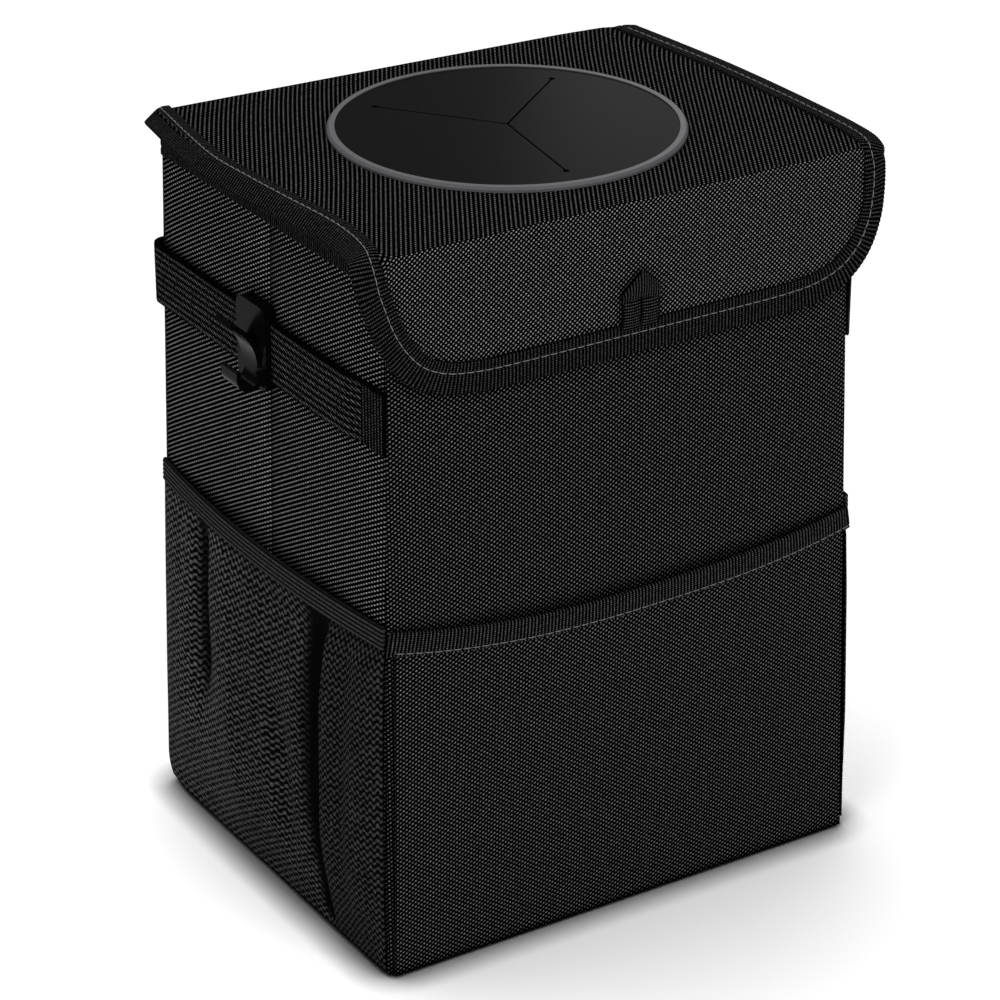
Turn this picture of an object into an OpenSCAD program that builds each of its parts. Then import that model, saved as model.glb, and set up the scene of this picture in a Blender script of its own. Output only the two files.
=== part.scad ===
// Collapsible lidded fabric bin for a car: boarded walls, flap lid with a slit rubber
// membrane, mesh side pockets, a front pocket and a webbing strap with sliding hooks.
// Millimetres. Origin at the middle of the base, +Z up, the flap side faces -Y.

/* [Body] */
// Outside width of the body at its base
body_w = 213; // [190:1:235]
// Outside depth of the body at its base
body_d = 178; // [160:1:200]
// Outside width of the body at the rim
rim_w = 199.5; // [185:0.5:215]
// Outside depth of the body at the rim
rim_d = 167; // [155:0.5:180]
// Height of the sewn walls above the floor
wall_h = 286; // [260:1:320]
// Width of the gap between the two boards of a side wall, where it folds
fold_gap = 5; // [3:0.5:10]
// Depth of the creased groove down the middle of a side wall
crease_depth = 0.4; // [0.2:0.05:0.5]

/* [Sheets] */
// Thickness of the woven outer fabric
fabric_t = 0.8; // [0.8:0.1:1.2]
// Thickness of the stiffener boards in the walls
board_t = 1.6; // [1.6:0.1:2.4]
// Thickness of the waterproof liner
liner_t = 0.5; // [0.3:0.1:0.8]
// Thickness of the board in the base
base_board_t = 2.4; // [1.6:0.1:3]
// Thickness of one layer of binding tape
tape_t = 0.7; // [0.5:0.1:1]
// Diameter of the piping cord in the seams
piping_d = 2; // [1.6:0.1:2.8]
// Clearance left between neighbouring sewn pieces
seam_gap = 0.1; // [0.05:0.05:0.2]

/* [Rim] */
// How far the rim binding reaches down the wall
rim_tape_h = 12; // [8:0.5:18]

/* [Front pocket] */
// Height of the pocket's top corners above the floor
pocket_h = 147; // [120:1:170]
// How far the top edge sags in the middle
pocket_sag = 7; // [3:0.5:14]
// How far the top edge stands off the front wall
pocket_gape = 6.5; // [5.5:0.5:10]
// Height of the binding along the top edge
pocket_tape_h = 9; // [6:0.5:14]

/* [Mesh pockets] */
// Height of a mesh pocket's top edge above the floor
mesh_h = 146; // [120:1:170]
// Thickness of the folded mesh
mesh_t = 0.9; // [0.7:0.1:1.4]
// How far the gathered mesh bulges off the wall
mesh_bulge = 9; // [7:0.5:13]
// How far the elastic stands off the wall at its middle
elastic_bow = 6; // [5.5:0.5:9]
// Height of the elastic band
elastic_h = 9; // [6:0.5:14]
// Thickness of the elastic band
elastic_t = 1.6; // [1.2:0.1:2.4]
// Distance of the deep gather from the middle of the pocket, towards the front
gather_front = 39; // [25:1:55]
// Distance of the shallow gather from the middle, towards the back
gather_back = 46; // [30:1:60]
// Depth of the deep gather, as a share of the bulge
gather_depth = 0.75; // [0.3:0.05:0.9]

/* [Strap] */
// Width of the webbing
strap_w = 25; // [20:1:32]
// Thickness of the webbing
strap_t = 1.5; // [1:0.1:2]
// Height of the webbing's lower edge above the floor
strap_z = 214; // [190:1:225]
// Gap between the webbing and the side wall, where the hook's frame runs
strap_off = 2; // [1.9:0.1:4]
// Length of the stitched end at the front corner
strap_end = 15; // [10:1:25]

/* [Hooks] */
// Length of the hook's frame along the webbing
frame_l = 22; // [16:1:30]
// Wall of the hook's frame
frame_t = 1.2; // [1:0.1:1.4]
// Thickness of the front plate and the hook blade
blade_t = 1.9; // [1.6:0.1:2.6]
// Length of the hook blade along the webbing
blade_l = 12; // [8:1:14]
// Radius of the frame's rounded corners
frame_r = 4; // [1:0.5:5]
// Inside radius of the hook's curl
curl_r = 3.9; // [3.2:0.1:6]
// How far the upper leaf flares out from the plate
leaf_out = 12; // [8:0.5:16]
// Clearance of the frame round the webbing
hook_gap = 0.3; // [0.2:0.05:0.4]
// Distance of the hooks behind the middle of the side wall
hook_back = 4; // [0:1:20]

/* [Lid] */
// Thickness of the lid's board
lid_board_t = 2.5; // [1.6:0.1:3.5]
// Thickness of the lining under the lid and behind the flap
lining_t = 0.5; // [0.3:0.1:0.8]
// Gap between the rim and the closed lid
lid_gap = 0.2; // [0.1:0.1:0.5]
// How far the hanging flap stands in front of the wall at its lower edge
flap_off = 2; // [1.8:0.1:5]
// How far the lid's hinge crease lies inside the back of the rim
lid_back = 3; // [2:0.5:6]
// How far the lid's fabric reaches past the rim at each side
lid_side = 4.5; // [3:0.5:8]
// Width of the binding tape on the lid and the flap
tape_w = 12.5; // [10:0.5:16]
// Angle at which the binding droops on the left side
left_droop = 45; // [20:1:70]
// Angle at which the binding droops on the right side
right_droop = 22; // [20:1:70]
// Height of the fabric hinge strip on the back wall
hinge_strip_h = 14; // [8:1:25]

/* [Flap] */
// Height of the flap from the crease to its outer edge
flap_h = 59; // [45:1:75]
// Outer radius of the flap's lower corners
flap_r = 38; // [25:1:42]

/* [Pull tab] */
// Width of the ribbon loop
tab_w = 15; // [10:1:20]
// Height of the ribbon loop above the binding
tab_h = 20; // [15:1:26]
// Height of its pointed fold
tab_point = 7; // [4:1:9]
// Thickness of the doubled ribbon
tab_t = 1.8; // [1.2:0.1:2.6]
// Distance of the loop from the middle of the flap
tab_x = 3; // [-20:1:20]

/* [Closure] */
// Width of the hook-and-loop patches
patch_w = 60; // [40:1:100]
// Height of the hook-and-loop patches
patch_h = 20; // [15:1:30]
// Thickness of each patch
patch_t = 0.5; // [0.3:0.05:0.6]

/* [Membrane] */
// Outer radius of the ring that frames the membrane
ring_r = 68; // [60:0.5:72]
// Width of the ring's visible face
ring_w = 3; // [2:0.5:5]
// Height of the ring above the lid
ring_h = 2; // [1.8:0.1:3]
// Thickness of the rubber membrane
membrane_t = 1.2; // [0.8:0.1:1.4]
// Length of the three slits
slit_l = 54; // [40:1:57]
// Width of the slits
slit_w = 0.8; // [0.5:0.1:1.5]
// Radius of the relief hole at the end of each slit
slit_end_r = 1.3; // [1:0.1:2]
// Distance of the membrane from the middle of the body, towards the right
ring_x = 3; // [-5:0.5:5]
// Distance of the membrane behind the middle of the body
ring_y = 1; // [-4:0.5:4]
// Thickness of the clamp ring under the lid
clamp_t = 2; // [1.5:0.1:3]

/* [Hidden] */
$fn = 64;

// Sides of the body, counted anticlockwise seen from above
FRONT = 0;
RIGHT = 1;
BACK = 2;
LEFT = 3;

lean_w = atan((body_w - rim_w) / 2 / wall_h);
lean_d = atan((body_d - rim_d) / 2 / wall_h);
wall_t = fabric_t + board_t + liner_t;
piping_r = piping_d / 2;
// The panels end this far from a corner, clear of its piping
panel_inset = 2 * piping_r + seam_gap;
// The boards stop short of each other's faces, at the corners and at the base
board_inset = max(panel_inset, fabric_t + board_t + seam_gap);
// Radius of the base piping's bend at a corner
base_bend = 3;
piping_z = piping_r + 2 * seam_gap;
panel_z = piping_z + piping_r + seam_gap;
liner_z = fabric_t + base_board_t;

// Half the outside width and depth of the body at a height
function half_w(z) = (body_w + (rim_w - body_w) * z / wall_h) / 2;
function half_d(z) = (body_d + (rim_d - body_d) * z / wall_h) / 2;
// Half the length of a side's wall at a height, and the angle at which it leans in
function half_len(side, z) = side % 2 == 0 ? half_w(z) : half_d(z);
function lean(side) = side % 2 == 0 ? lean_d : lean_w;

// The sheets of the walls end here, just under the fold of the rim binding
wall_top = wall_h - 3 * seam_gap;
rim_z = wall_h + tape_t;
lid_z = rim_z + lid_gap;
board_z = lid_z + lining_t;
lid_top = board_z + lid_board_t + fabric_t;
crease_y = -(half_d(lid_top - flap_h) + flap_off);
hinge_y = rim_d / 2 - lid_back;
// Half the width of the flat part of the lid, and of the lid with its binding
lid_flat = rim_w / 2 + lid_side - tape_w * 0.44;
lid_half = rim_w / 2 + lid_side;
flap_half = lid_flat + tape_w;
flap_y = crease_y - fabric_t;
// The flap's own sheets end this far inside its binding's outer edge
flap_turn_in = 2;
pocket_len = pocket_h - panel_z;
pocket_turn = atan((pocket_gape - seam_gap) / pocket_len);

FABRIC = "#1b1b1c";
TAPE = "#161617";
MESH = "#202021";
RUBBER = "#1d1d1e";
PLASTIC = "#3a3a3c";
LINER = "#8d9094";
BOARD = "#6f5b45";

// Local frame of a wall: X along it, Y up its outer face, Z out of it
module wall_frame(side) {
    out = side % 2 == 0 ? body_d / 2 : body_w / 2;
    rotate([0, 0, 90 * side]) translate([0, -out, 0]) rotate([90 - lean(side), 0, 0]) children();
}

// Flat sheet on a wall from height z0 to z1, between two distances from its outer face
module wall_sheet(side, z0, z1, in, out, inset) {
    c = cos(lean(side));
    low = half_len(side, z0) - inset;
    high = half_len(side, z1) - inset;
    wall_frame(side) translate([0, 0, in]) linear_extrude(out - in)
        polygon([[-low, z0 / c], [low, z0 / c], [high, z1 / c], [-high, z1 / c]]);
}

// Round bar between two points
module bar(p, q, r) {
    d = q - p;
    l = norm(d);
    translate(p) rotate([0, acos(d[2] / l), atan2(d[1], d[0])]) cylinder(h = l, r = r);
}

// Sheet of the base, inset from the outer size, with corners that follow the piping's bends
module base_sheet(inset, z, t) {
    r = max(seam_gap, piping_r + base_bend - inset);
    x = body_w / 2 - inset;
    y = body_d / 2 - inset;
    translate([0, 0, z]) linear_extrude(t) {
        square([2 * (x - r), 2 * y], center = true);
        square([2 * x, 2 * (y - r)], center = true);
        for (sx = [-1, 1], sy = [-1, 1]) translate([sx * (x - r), sy * (y - r)]) circle(r);
    }
}

module base_panel() {
    color(FABRIC) base_sheet(panel_inset, 0, fabric_t);
}

module base_board() {
    color(BOARD) base_sheet(board_inset, fabric_t, base_board_t);
}

module plain_panel(side) {
    color(FABRIC) wall_sheet(side, panel_z, wall_top, -fabric_t, 0, panel_inset);
}

// A side wall's fabric carries the crease at which the bin folds flat
module creased_panel(side) {
    color(FABRIC) difference() {
        wall_sheet(side, panel_z, wall_top, -fabric_t, 0, panel_inset);
        wall_frame(side) rotate([-90, 0, 0]) rotate([0, 0, 45])
            linear_extrude(wall_h + 2 * panel_z) square(sqrt(2) * crease_depth, center = true);
    }
}

module full_board(side) {
    color(BOARD) wall_sheet(side, panel_z, wall_top, -fabric_t - board_t, -fabric_t, board_inset);
}

// One of the two boards of a side wall: dir 1 lies towards the wall frame's +X
module half_board(side, dir) {
    c = cos(lean(side));
    low = half_len(side, panel_z) - board_inset;
    high = half_len(side, wall_top) - board_inset;
    color(BOARD) wall_frame(side) translate([0, 0, -fabric_t - board_t]) linear_extrude(board_t)
        polygon([
            [dir * fold_gap / 2, panel_z / c], [dir * low, panel_z / c],
            [dir * high, wall_top / c], [dir * fold_gap / 2, wall_top / c]
        ]);
}

// Open-topped waterproof box inside the boards
module liner() {
    inner = fabric_t + board_t;
    inset = inner + seam_gap;
    color(LINER) {
        for (side = [FRONT, RIGHT, BACK, LEFT])
            wall_sheet(side, liner_z + seam_gap, wall_top, -wall_t, -inner, inset);
        translate([-half_w(liner_z) + inset, -half_d(liner_z) + inset, liner_z])
            cube([2 * (half_w(liner_z) - inset), 2 * (half_d(liner_z) - inset), liner_t]);
    }
}

// Tape folded over the top of the walls all round; each side ends half way into the next
module rim_binding() {
    low = wall_h - rim_tape_h;
    color(TAPE) for (side = [FRONT, RIGHT, BACK, LEFT]) {
        wall_sheet(side, low, rim_z, 0, tape_t, -tape_t / 2);
        wall_sheet(side, low, rim_z, -wall_t - tape_t, -wall_t, wall_t + tape_t / 2);
        wall_sheet(side, wall_h, rim_z, -wall_t - tape_t / 2, tape_t / 2, -tape_t / 2);
    }
}

// Piping round the base, with a small bend at each corner
module base_piping() {
    bend = base_bend;
    x = body_w / 2 - piping_r;
    y = body_d / 2 - piping_r;
    color(TAPE) translate([0, 0, piping_z]) {
        for (s = [-1, 1]) {
            bar([-x + bend, s * y, 0], [x - bend, s * y, 0], piping_r);
            bar([s * x, -y + bend, 0], [s * x, y - bend, 0], piping_r);
        }
        for (turn = [0, 1, 2, 3])
            translate([(turn == 0 || turn == 3 ? 1 : -1) * (x - bend), (turn < 2 ? 1 : -1) * (y - bend), 0])
            rotate([0, 0, 90 * turn]) rotate_extrude(angle = 90) translate([bend, 0]) circle(piping_r);
    }
}

module corner_piping(sx, sy) {
    low = panel_z;
    color(TAPE) bar(
        [sx * (half_w(low) - piping_r), sy * (half_d(low) - piping_r), low],
        [sx * (half_w(wall_h) - piping_r), sy * (half_d(wall_h) - piping_r), wall_h - seam_gap],
        piping_r
    );
}

// Frame of the front pocket's sheet: it leans out from its bottom seam to the gaping top
module pocket_frame() {
    wall_frame(FRONT) translate([0, panel_z, seam_gap]) rotate([pocket_turn, 0, 0]) children();
}

// The sheet's sides follow the body's corners
module pocket_outline(inset = 0) {
    low = half_w(panel_z) - inset;
    high = half_w(pocket_h) - inset;
    polygon([[-low, 0], [low, 0], [high, pocket_len + 1], [-high, pocket_len + 1]]);
}

// Radius of the circle that the sagging top edge follows, and the height of its lowest point
pocket_r = pow(half_w(pocket_h), 2) / 2 / pocket_sag + pocket_sag / 2;
pocket_low = pocket_len - pocket_sag;

module pocket_circle(more) {
    translate([0, pocket_low + pocket_r]) circle(pocket_r + more, $fn = 360);
}

module front_pocket() {
    gusset = half_w(pocket_h) - fabric_t;
    fold_low = 6;
    fold_high = pocket_len - pocket_tape_h - 1;
    sunk = seam_gap + fabric_t / 2;
    color(FABRIC) {
        pocket_frame() linear_extrude(fabric_t) difference() {
            pocket_outline();
            pocket_circle(0);
        }
        // Side folds that close the pocket against the wall, sunk half way into the sheet
        for (s = [-1, 1]) wall_frame(FRONT) translate([s * (gusset - 1), 0, 0]) rotate([90, 0, 90])
            translate([0, 0, s > 0 ? 0 : -fabric_t]) linear_extrude(fabric_t) polygon([
                [panel_z + fold_low, seam_gap], [panel_z + fold_high, seam_gap],
                [panel_z + fold_high, sunk + fold_high * tan(pocket_turn)],
                [panel_z + fold_low, sunk + fold_low * tan(pocket_turn)]
            ]);
    }
}

// Tape folded over the pocket's top edge
module front_pocket_binding() {
    color(TAPE) pocket_frame() difference() {
        translate([0, 0, -tape_t]) linear_extrude(fabric_t + 2 * tape_t) intersection() {
            pocket_outline(3);
            difference() {
                pocket_circle(pocket_tape_h);
                pocket_circle(-tape_t);
            }
        }
        linear_extrude(fabric_t) difference() {
            pocket_outline(-1);
            pocket_circle(0);
        }
    }
}

// Height profile of the gathered mesh: full in the middle, drawn in at the seam and the elastic
function mesh_rise(t) = pow(sin(180 * min(1, t * 0.86 + 0.01)), 0.55);
// Shape of the lobes between the gathers: 0 in a gather, 1 on a lobe
function lobe(u, a, b) = pow(max(0, sin(180 * (u - a) / (b - a))), 0.5);

// Mesh cloth gathered into three lobes on a side wall; front tells which way the front lies
module mesh_pocket(side, front) {
    columns = 36;
    rows = 12;
    top = mesh_h - elastic_h + 1;
    function seam_u(z) = half_len(side, z) - 0.5;
    function level(i) = panel_z + (top - panel_z) * i / rows;
    function along(j, z) = -seam_u(z) + 2 * seam_u(z) * j / columns;
    function off(j, i) =
        let (
            z = level(i), t = i / rows, u = along(j, z) * front, e = seam_u(z),
            deep = u < -gather_back ? lobe(u, -e, -gather_back)
                : u < gather_front ? lobe(u, -gather_back, gather_front)
                : lobe(u, gather_front, e),
            drawn = 1 - gather_depth * (1 - deep),
            edge = pow(max(0, 1 - pow(abs(u) / e, 6)), 0.5),
            full = (mesh_bulge - mesh_t) * mesh_rise(t) * drawn * edge,
            bow = elastic_bow * (1 - pow(u / e, 2)),
            blend = pow(t, 6)
        ) seam_gap + mesh_t + (1 - blend) * full + blend * bow;
    c = cos(lean(side));
    ring = columns + 1;
    points = [
        for (k = [0, 1], i = [0:rows], j = [0:columns])
            [along(j, level(i)), level(i) / c, off(j, i) - k * mesh_t]
    ];
    function id(k, i, j) = k * ring * (rows + 1) + i * ring + j;
    faces = concat(
        [for (i = [0:rows - 1], j = [0:columns - 1]) [id(0, i, j), id(0, i + 1, j), id(0, i + 1, j + 1)]],
        [for (i = [0:rows - 1], j = [0:columns - 1]) [id(0, i, j), id(0, i + 1, j + 1), id(0, i, j + 1)]],
        [for (i = [0:rows - 1], j = [0:columns - 1]) [id(1, i, j), id(1, i + 1, j + 1), id(1, i + 1, j)]],
        [for (i = [0:rows - 1], j = [0:columns - 1]) [id(1, i, j), id(1, i, j + 1), id(1, i + 1, j + 1)]],
        [for (i = [0:rows - 1]) [id(0, i, 0), id(1, i, 0), id(1, i + 1, 0), id(0, i + 1, 0)]],
        [for (i = [0:rows - 1]) [id(0, i, columns), id(0, i + 1, columns), id(1, i + 1, columns), id(1, i, columns)]],
        [for (j = [0:columns - 1]) [id(0, 0, j), id(0, 0, j + 1), id(1, 0, j + 1), id(1, 0, j)]],
        [for (j = [0:columns - 1]) [id(0, rows, j), id(1, rows, j), id(1, rows, j + 1), id(0, rows, j + 1)]]
    );
    color(MESH) wall_frame(side) polyhedron(points, faces, convexity = 8);
}

// Elastic band along a mesh pocket's top edge, bowed off the wall
module pocket_elastic(side) {
    low = mesh_h - elastic_h + 1 + seam_gap;
    e = half_len(side, mesh_h) - 0.5;
    bow_r = e * e / 2 / elastic_bow + elastic_bow / 2;
    color(TAPE) wall_frame(side) translate([0, low / cos(lean(side)), 0]) rotate([-90, 0, 0])
        linear_extrude(mesh_h - low) intersection() {
            difference() {
                translate([0, bow_r - elastic_bow - seam_gap - elastic_t]) circle(bow_r, $fn = 360);
                translate([0, bow_r - elastic_bow - seam_gap]) circle(bow_r, $fn = 360);
            }
            translate([-e, -elastic_bow - elastic_t - 2]) square([2 * e, elastic_bow + elastic_t + 2 - seam_gap]);
        }
}

// Webbing from the front left corner round the back to the front right corner
module strap() {
    x_in = half_w(strap_z) + strap_off;
    x_sewn = half_w(strap_z) + seam_gap;
    y_front = half_d(strap_z) - fabric_t;
    y_in = half_d(strap_z) + 3 * seam_gap;
    bend = 4;
    // Length over which the webbing leaves the wall behind its sewn end
    slope = 8;
    y_sewn = -y_front + strap_end;
    // A face of the right half, t out from the inner one, from the sewn end to the back
    function half_path(t) = concat(
        [[x_sewn + t, -y_front], [x_sewn + t, y_sewn], [x_in + t, y_sewn + slope]],
        [for (i = [0:4]) [x_in - bend, y_in - bend] + (bend + t) * [cos(22.5 * i), sin(22.5 * i)]]
    );
    function reversed(p) = [for (i = [len(p) - 1:-1:0]) p[i]];
    function mirrored(p) = [for (q = p) [-q[0], q[1]]];
    inner = half_path(0);
    outer = half_path(strap_t);
    color(TAPE) translate([0, 0, strap_z]) linear_extrude(strap_w)
        polygon(concat(inner, reversed(mirrored(inner)), mirrored(outer), reversed(outer)));
}

// Moulded hook: a frame round the webbing, an upper leaf and a lower curl. Profile plane: X
// out of the wall from its face at the webbing's lower edge, Y up from that edge.
// The frame's lower and upper end
frame_low = -3.5;
frame_high = strap_w + 4.5;

module hook_profile_frame() {
    back = strap_off - hook_gap - frame_t;
    front = strap_off + strap_t + hook_gap;
    difference() {
        translate([back, frame_low]) square([front + blade_t - back, frame_high - frame_low]);
        translate([strap_off - hook_gap, -hook_gap]) square([strap_t + 2 * hook_gap, strap_w + 2 * hook_gap]);
    }
}

module hook_profile_blade() {
    face = strap_off + strap_t + hook_gap + blade_t;
    curl_x = face + curl_r;
    curl_y = 2;
    // The leaf leaves the plate this far above the webbing's lower edge
    leaf_y = 5;
    leaf_up = strap_w - leaf_y;
    leaf_angle = 2 * atan(leaf_out / leaf_up);
    leaf_r = leaf_up / sin(leaf_angle);
    // Lower curl, a half ring open to the top with a rounded lip
    difference() {
        translate([curl_x, curl_y]) circle(curl_r + blade_t);
        translate([curl_x, curl_y]) circle(curl_r);
        translate([curl_x - 2 * curl_r, curl_y]) square(4 * curl_r);
    }
    translate([curl_x + curl_r, curl_y]) square([blade_t, 2.5]);
    translate([curl_x + curl_r + blade_t / 2, curl_y + 2.5]) circle(blade_t / 2);
    // Upper leaf, an arc that leaves the plate and flares out
    translate([face + leaf_r - blade_t / 2, leaf_y]) intersection() {
        difference() {
            circle(leaf_r);
            circle(leaf_r - blade_t);
        }
        polygon([[0, 0], [-2 * leaf_r, 0], 3 * leaf_r * [-cos(leaf_angle), sin(leaf_angle)]]);
    }
}

// Outline of the frame with its rounded corners, seen from the front: Y up
module hook_frame_outline() {
    for (y = [frame_low + frame_r, frame_high - frame_r], x = [-1, 1])
        translate([x * (frame_l / 2 - frame_r), y]) circle(frame_r);
    translate([-frame_l / 2, frame_low + frame_r]) square([frame_l, frame_high - frame_low - 2 * frame_r]);
    translate([-frame_l / 2 + frame_r, frame_low]) square([frame_l - 2 * frame_r, frame_high - frame_low]);
}

module hook(s) {
    x = s * half_w(strap_z);
    color(PLASTIC) translate([x, hook_back, strap_z]) rotate([90, 0, 0]) mirror([s < 0 ? 1 : 0, 0, 0]) {
        intersection() {
            translate([0, 0, -frame_l / 2]) linear_extrude(frame_l) hook_profile_frame();
            rotate([0, 90, 0]) linear_extrude(4 * strap_off + 2 * blade_t) hook_frame_outline();
        }
        translate([0, 0, -blade_l / 2]) linear_extrude(blade_l) hook_profile_blade();
    }
}

patch_z = lid_top - flap_h + tape_w + 1;

// Loop patch sewn on the front wall, behind the flap
module loop_patch() {
    color(TAPE) wall_frame(FRONT) translate([-patch_w / 2, patch_z / cos(lean_d), 0])
        cube([patch_w, patch_h, patch_t]);
}

// Fabric strip that carries the lid on the back wall
module hinge_strip() {
    out = half_d(rim_z - hinge_strip_h) + tape_t + seam_gap;
    half = rim_w / 2 - 4;
    edge = hinge_y + fabric_t;
    low = rim_z - hinge_strip_h;
    color(FABRIC) translate([-half, 0, 0]) rotate([90, 0, 90]) linear_extrude(2 * half) polygon([
        [out, low], [out + fabric_t, low], [out + fabric_t, lid_top], [edge, lid_top],
        [edge, lid_top - fabric_t], [out, lid_top - fabric_t]
    ]);
}

throat_r = ring_r - ring_w - 3;

module ring_place(z) {
    translate([ring_x, ring_y, z]) children();
}

// Sheet of the lid between two depths, with the throat cut through it
module lid_sheet(half, front, z, t) {
    difference() {
        translate([-half, front, z]) cube([2 * half, hinge_y - front, t]);
        ring_place(z - 1) cylinder(h = t + 2, r = throat_r + 2, $fn = 96);
    }
}

module lid_panel() {
    color(FABRIC) lid_sheet(lid_half, crease_y, lid_top - fabric_t, fabric_t);
}

module lid_board() {
    color(BOARD) lid_sheet(rim_w / 2 - 1, crease_y + 1.5, board_z, lid_board_t);
}

module lid_lining() {
    color(LINER) lid_sheet(rim_w / 2 - 1, crease_y + 1.5, lid_z, lining_t);
}

// The side tapes start this far behind the crease, clear of the flap's tape
side_tape_start = 1.6;

// Tape over the lid's side edge: flat on the lid, then drooping
module lid_binding(s) {
    drop = tape_w * 0.56;
    droop = s < 0 ? left_droop : right_droop;
    dx = drop * cos(droop);
    dz = drop * sin(droop);
    edge = lid_half + 0.2;
    top = lid_top + tape_t;
    color(TAPE) translate([0, crease_y + side_tape_start, 0]) rotate([90, 0, 180])
        mirror([s > 0 ? 1 : 0, 0, 0]) linear_extrude(hinge_y - crease_y - side_tape_start - 0.5) polygon([
            [lid_flat, lid_top], [edge, lid_top], [edge, lid_top - fabric_t],
            [edge + dx - tape_t, top - dz - tape_t], [edge + dx, top - dz], [edge, top], [lid_flat, top]
        ]);
}

// Rim that frames the membrane, with a sleeve through the lid
module membrane_ring() {
    ledge = 0.4;
    color(PLASTIC) ring_place(0) rotate_extrude($fn = 128) polygon([
        [throat_r, lid_z - clamp_t], [throat_r + 1.6, lid_z - clamp_t], [throat_r + 1.6, lid_top],
        [ring_r, lid_top], [ring_r, lid_top + ring_h * 0.5], [ring_r - 0.8, lid_top + ring_h],
        [ring_r - ring_w, lid_top + ring_h], [ring_r - ring_w, lid_top + ledge], [throat_r, lid_top + ledge]
    ]);
}

// Directions of the three slits, which aren't quite evenly spread
slit_angles = [39, 127, 261];

// Slit from the membrane's middle, with a round relief hole at its end
module slit(angle) {
    rotate([0, 0, angle]) {
        translate([0, -slit_w / 2]) square([slit_l, slit_w]);
        translate([slit_l, 0]) circle(slit_end_r);
    }
}

module membrane() {
    color(RUBBER) ring_place(lid_top + 0.4) linear_extrude(membrane_t) difference() {
        circle(ring_r - ring_w - seam_gap, $fn = 128);
        for (angle = slit_angles) slit(angle);
    }
}

// Ring clamped on the sleeve under the lid
module clamp_ring() {
    color(PLASTIC) ring_place(lid_z - clamp_t) rotate_extrude($fn = 128) polygon([
        [throat_r + 1.6, 0], [ring_r - 1, 0], [ring_r - 1, clamp_t], [throat_r + 1.6, clamp_t]
    ]);
}

// Outline of the flap in its own plane, with round lower corners, ending some way below
// the lid's fabric: X across, Y up
module flap_outline(inset, drop = 0) {
    half = flap_half - inset;
    low = lid_top - flap_h + inset;
    r = flap_r - inset;
    top = lid_top - fabric_t - seam_gap - drop;
    intersection() {
        union() {
            translate([-half, low + r]) square([2 * half, top - low - r]);
            translate([-half + r, low]) square([2 * (half - r), top - low]);
            for (s = [-1, 1]) translate([s * (half - r), low + r]) circle(r);
        }
        translate([-half, low]) square([2 * half, top - low]);
    }
}

// Puts an outline in the flap's plane, from y0 forward by t
module flap_sheet(y0, t) {
    translate([0, y0, 0]) rotate([90, 0, 0]) linear_extrude(t) children();
}

module flap_panel() {
    color(FABRIC) flap_sheet(crease_y, fabric_t) flap_outline(flap_turn_in);
}

module flap_lining() {
    color(LINER) flap_sheet(crease_y + lining_t, lining_t) flap_outline(flap_turn_in, fabric_t);
}

// Tape folded over the flap's edge
module flap_binding() {
    color(TAPE) difference() {
        flap_sheet(crease_y + lining_t + tape_t, fabric_t + lining_t + 2 * tape_t) difference() {
            flap_outline(0, fabric_t);
            flap_outline(tape_w);
        }
        flap_sheet(crease_y + lining_t, fabric_t + lining_t) flap_outline(flap_turn_in);
    }
}

module hook_patch() {
    color(TAPE) flap_sheet(crease_y + lining_t + patch_t, patch_t)
        translate([-patch_w / 2, patch_z]) square([patch_w, patch_h]);
}

// Ribbon folded to a point, its two legs tucked in the flap's binding
module pull_tab() {
    foot = lid_top - flap_h + tape_w + seam_gap;
    color(TAPE) flap_sheet(flap_y, tab_t) translate([tab_x, foot]) difference() {
        polygon([
            [-tab_w / 2, 0], [tab_w / 2, 0], [tab_w / 2, tab_h - tab_point], [tab_w / 4, tab_h - 1],
            [0, tab_h], [-tab_w / 2, tab_h - tab_point]
        ]);
        translate([-0.8, -1]) square([1.6, tab_h / 2 + 1]);
    }
}

base_panel();
base_board();
plain_panel(FRONT);  // front_panel
plain_panel(BACK);  // back_panel
creased_panel(LEFT);  // left_panel
creased_panel(RIGHT);  // right_panel
full_board(FRONT);  // front_board
full_board(BACK);  // back_board
half_board(LEFT, 1);  // left_front_board
half_board(LEFT, -1);  // left_back_board
half_board(RIGHT, -1);  // right_front_board
half_board(RIGHT, 1);  // right_back_board
liner();
rim_binding();
base_piping();
corner_piping(-1, -1);  // front_left_piping
corner_piping(1, -1);  // front_right_piping
corner_piping(-1, 1);  // back_left_piping
corner_piping(1, 1);  // back_right_piping
front_pocket();
front_pocket_binding();
mesh_pocket(LEFT, 1);  // left_mesh_pocket
pocket_elastic(LEFT);  // left_pocket_elastic
mesh_pocket(RIGHT, -1);  // right_mesh_pocket
pocket_elastic(RIGHT);  // right_pocket_elastic
strap();
hook(-1);  // left_hook
hook(1);  // right_hook
loop_patch();
hinge_strip();
lid_panel();
lid_board();
lid_lining();
lid_binding(-1);  // left_lid_binding
lid_binding(1);  // right_lid_binding
membrane_ring();
membrane();
clamp_ring();
flap_panel();
flap_lining();
flap_binding();
hook_patch();
pull_tab();
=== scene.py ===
"""Lidded fabric car bin: cloth, tape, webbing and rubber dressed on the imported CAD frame."""

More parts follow.
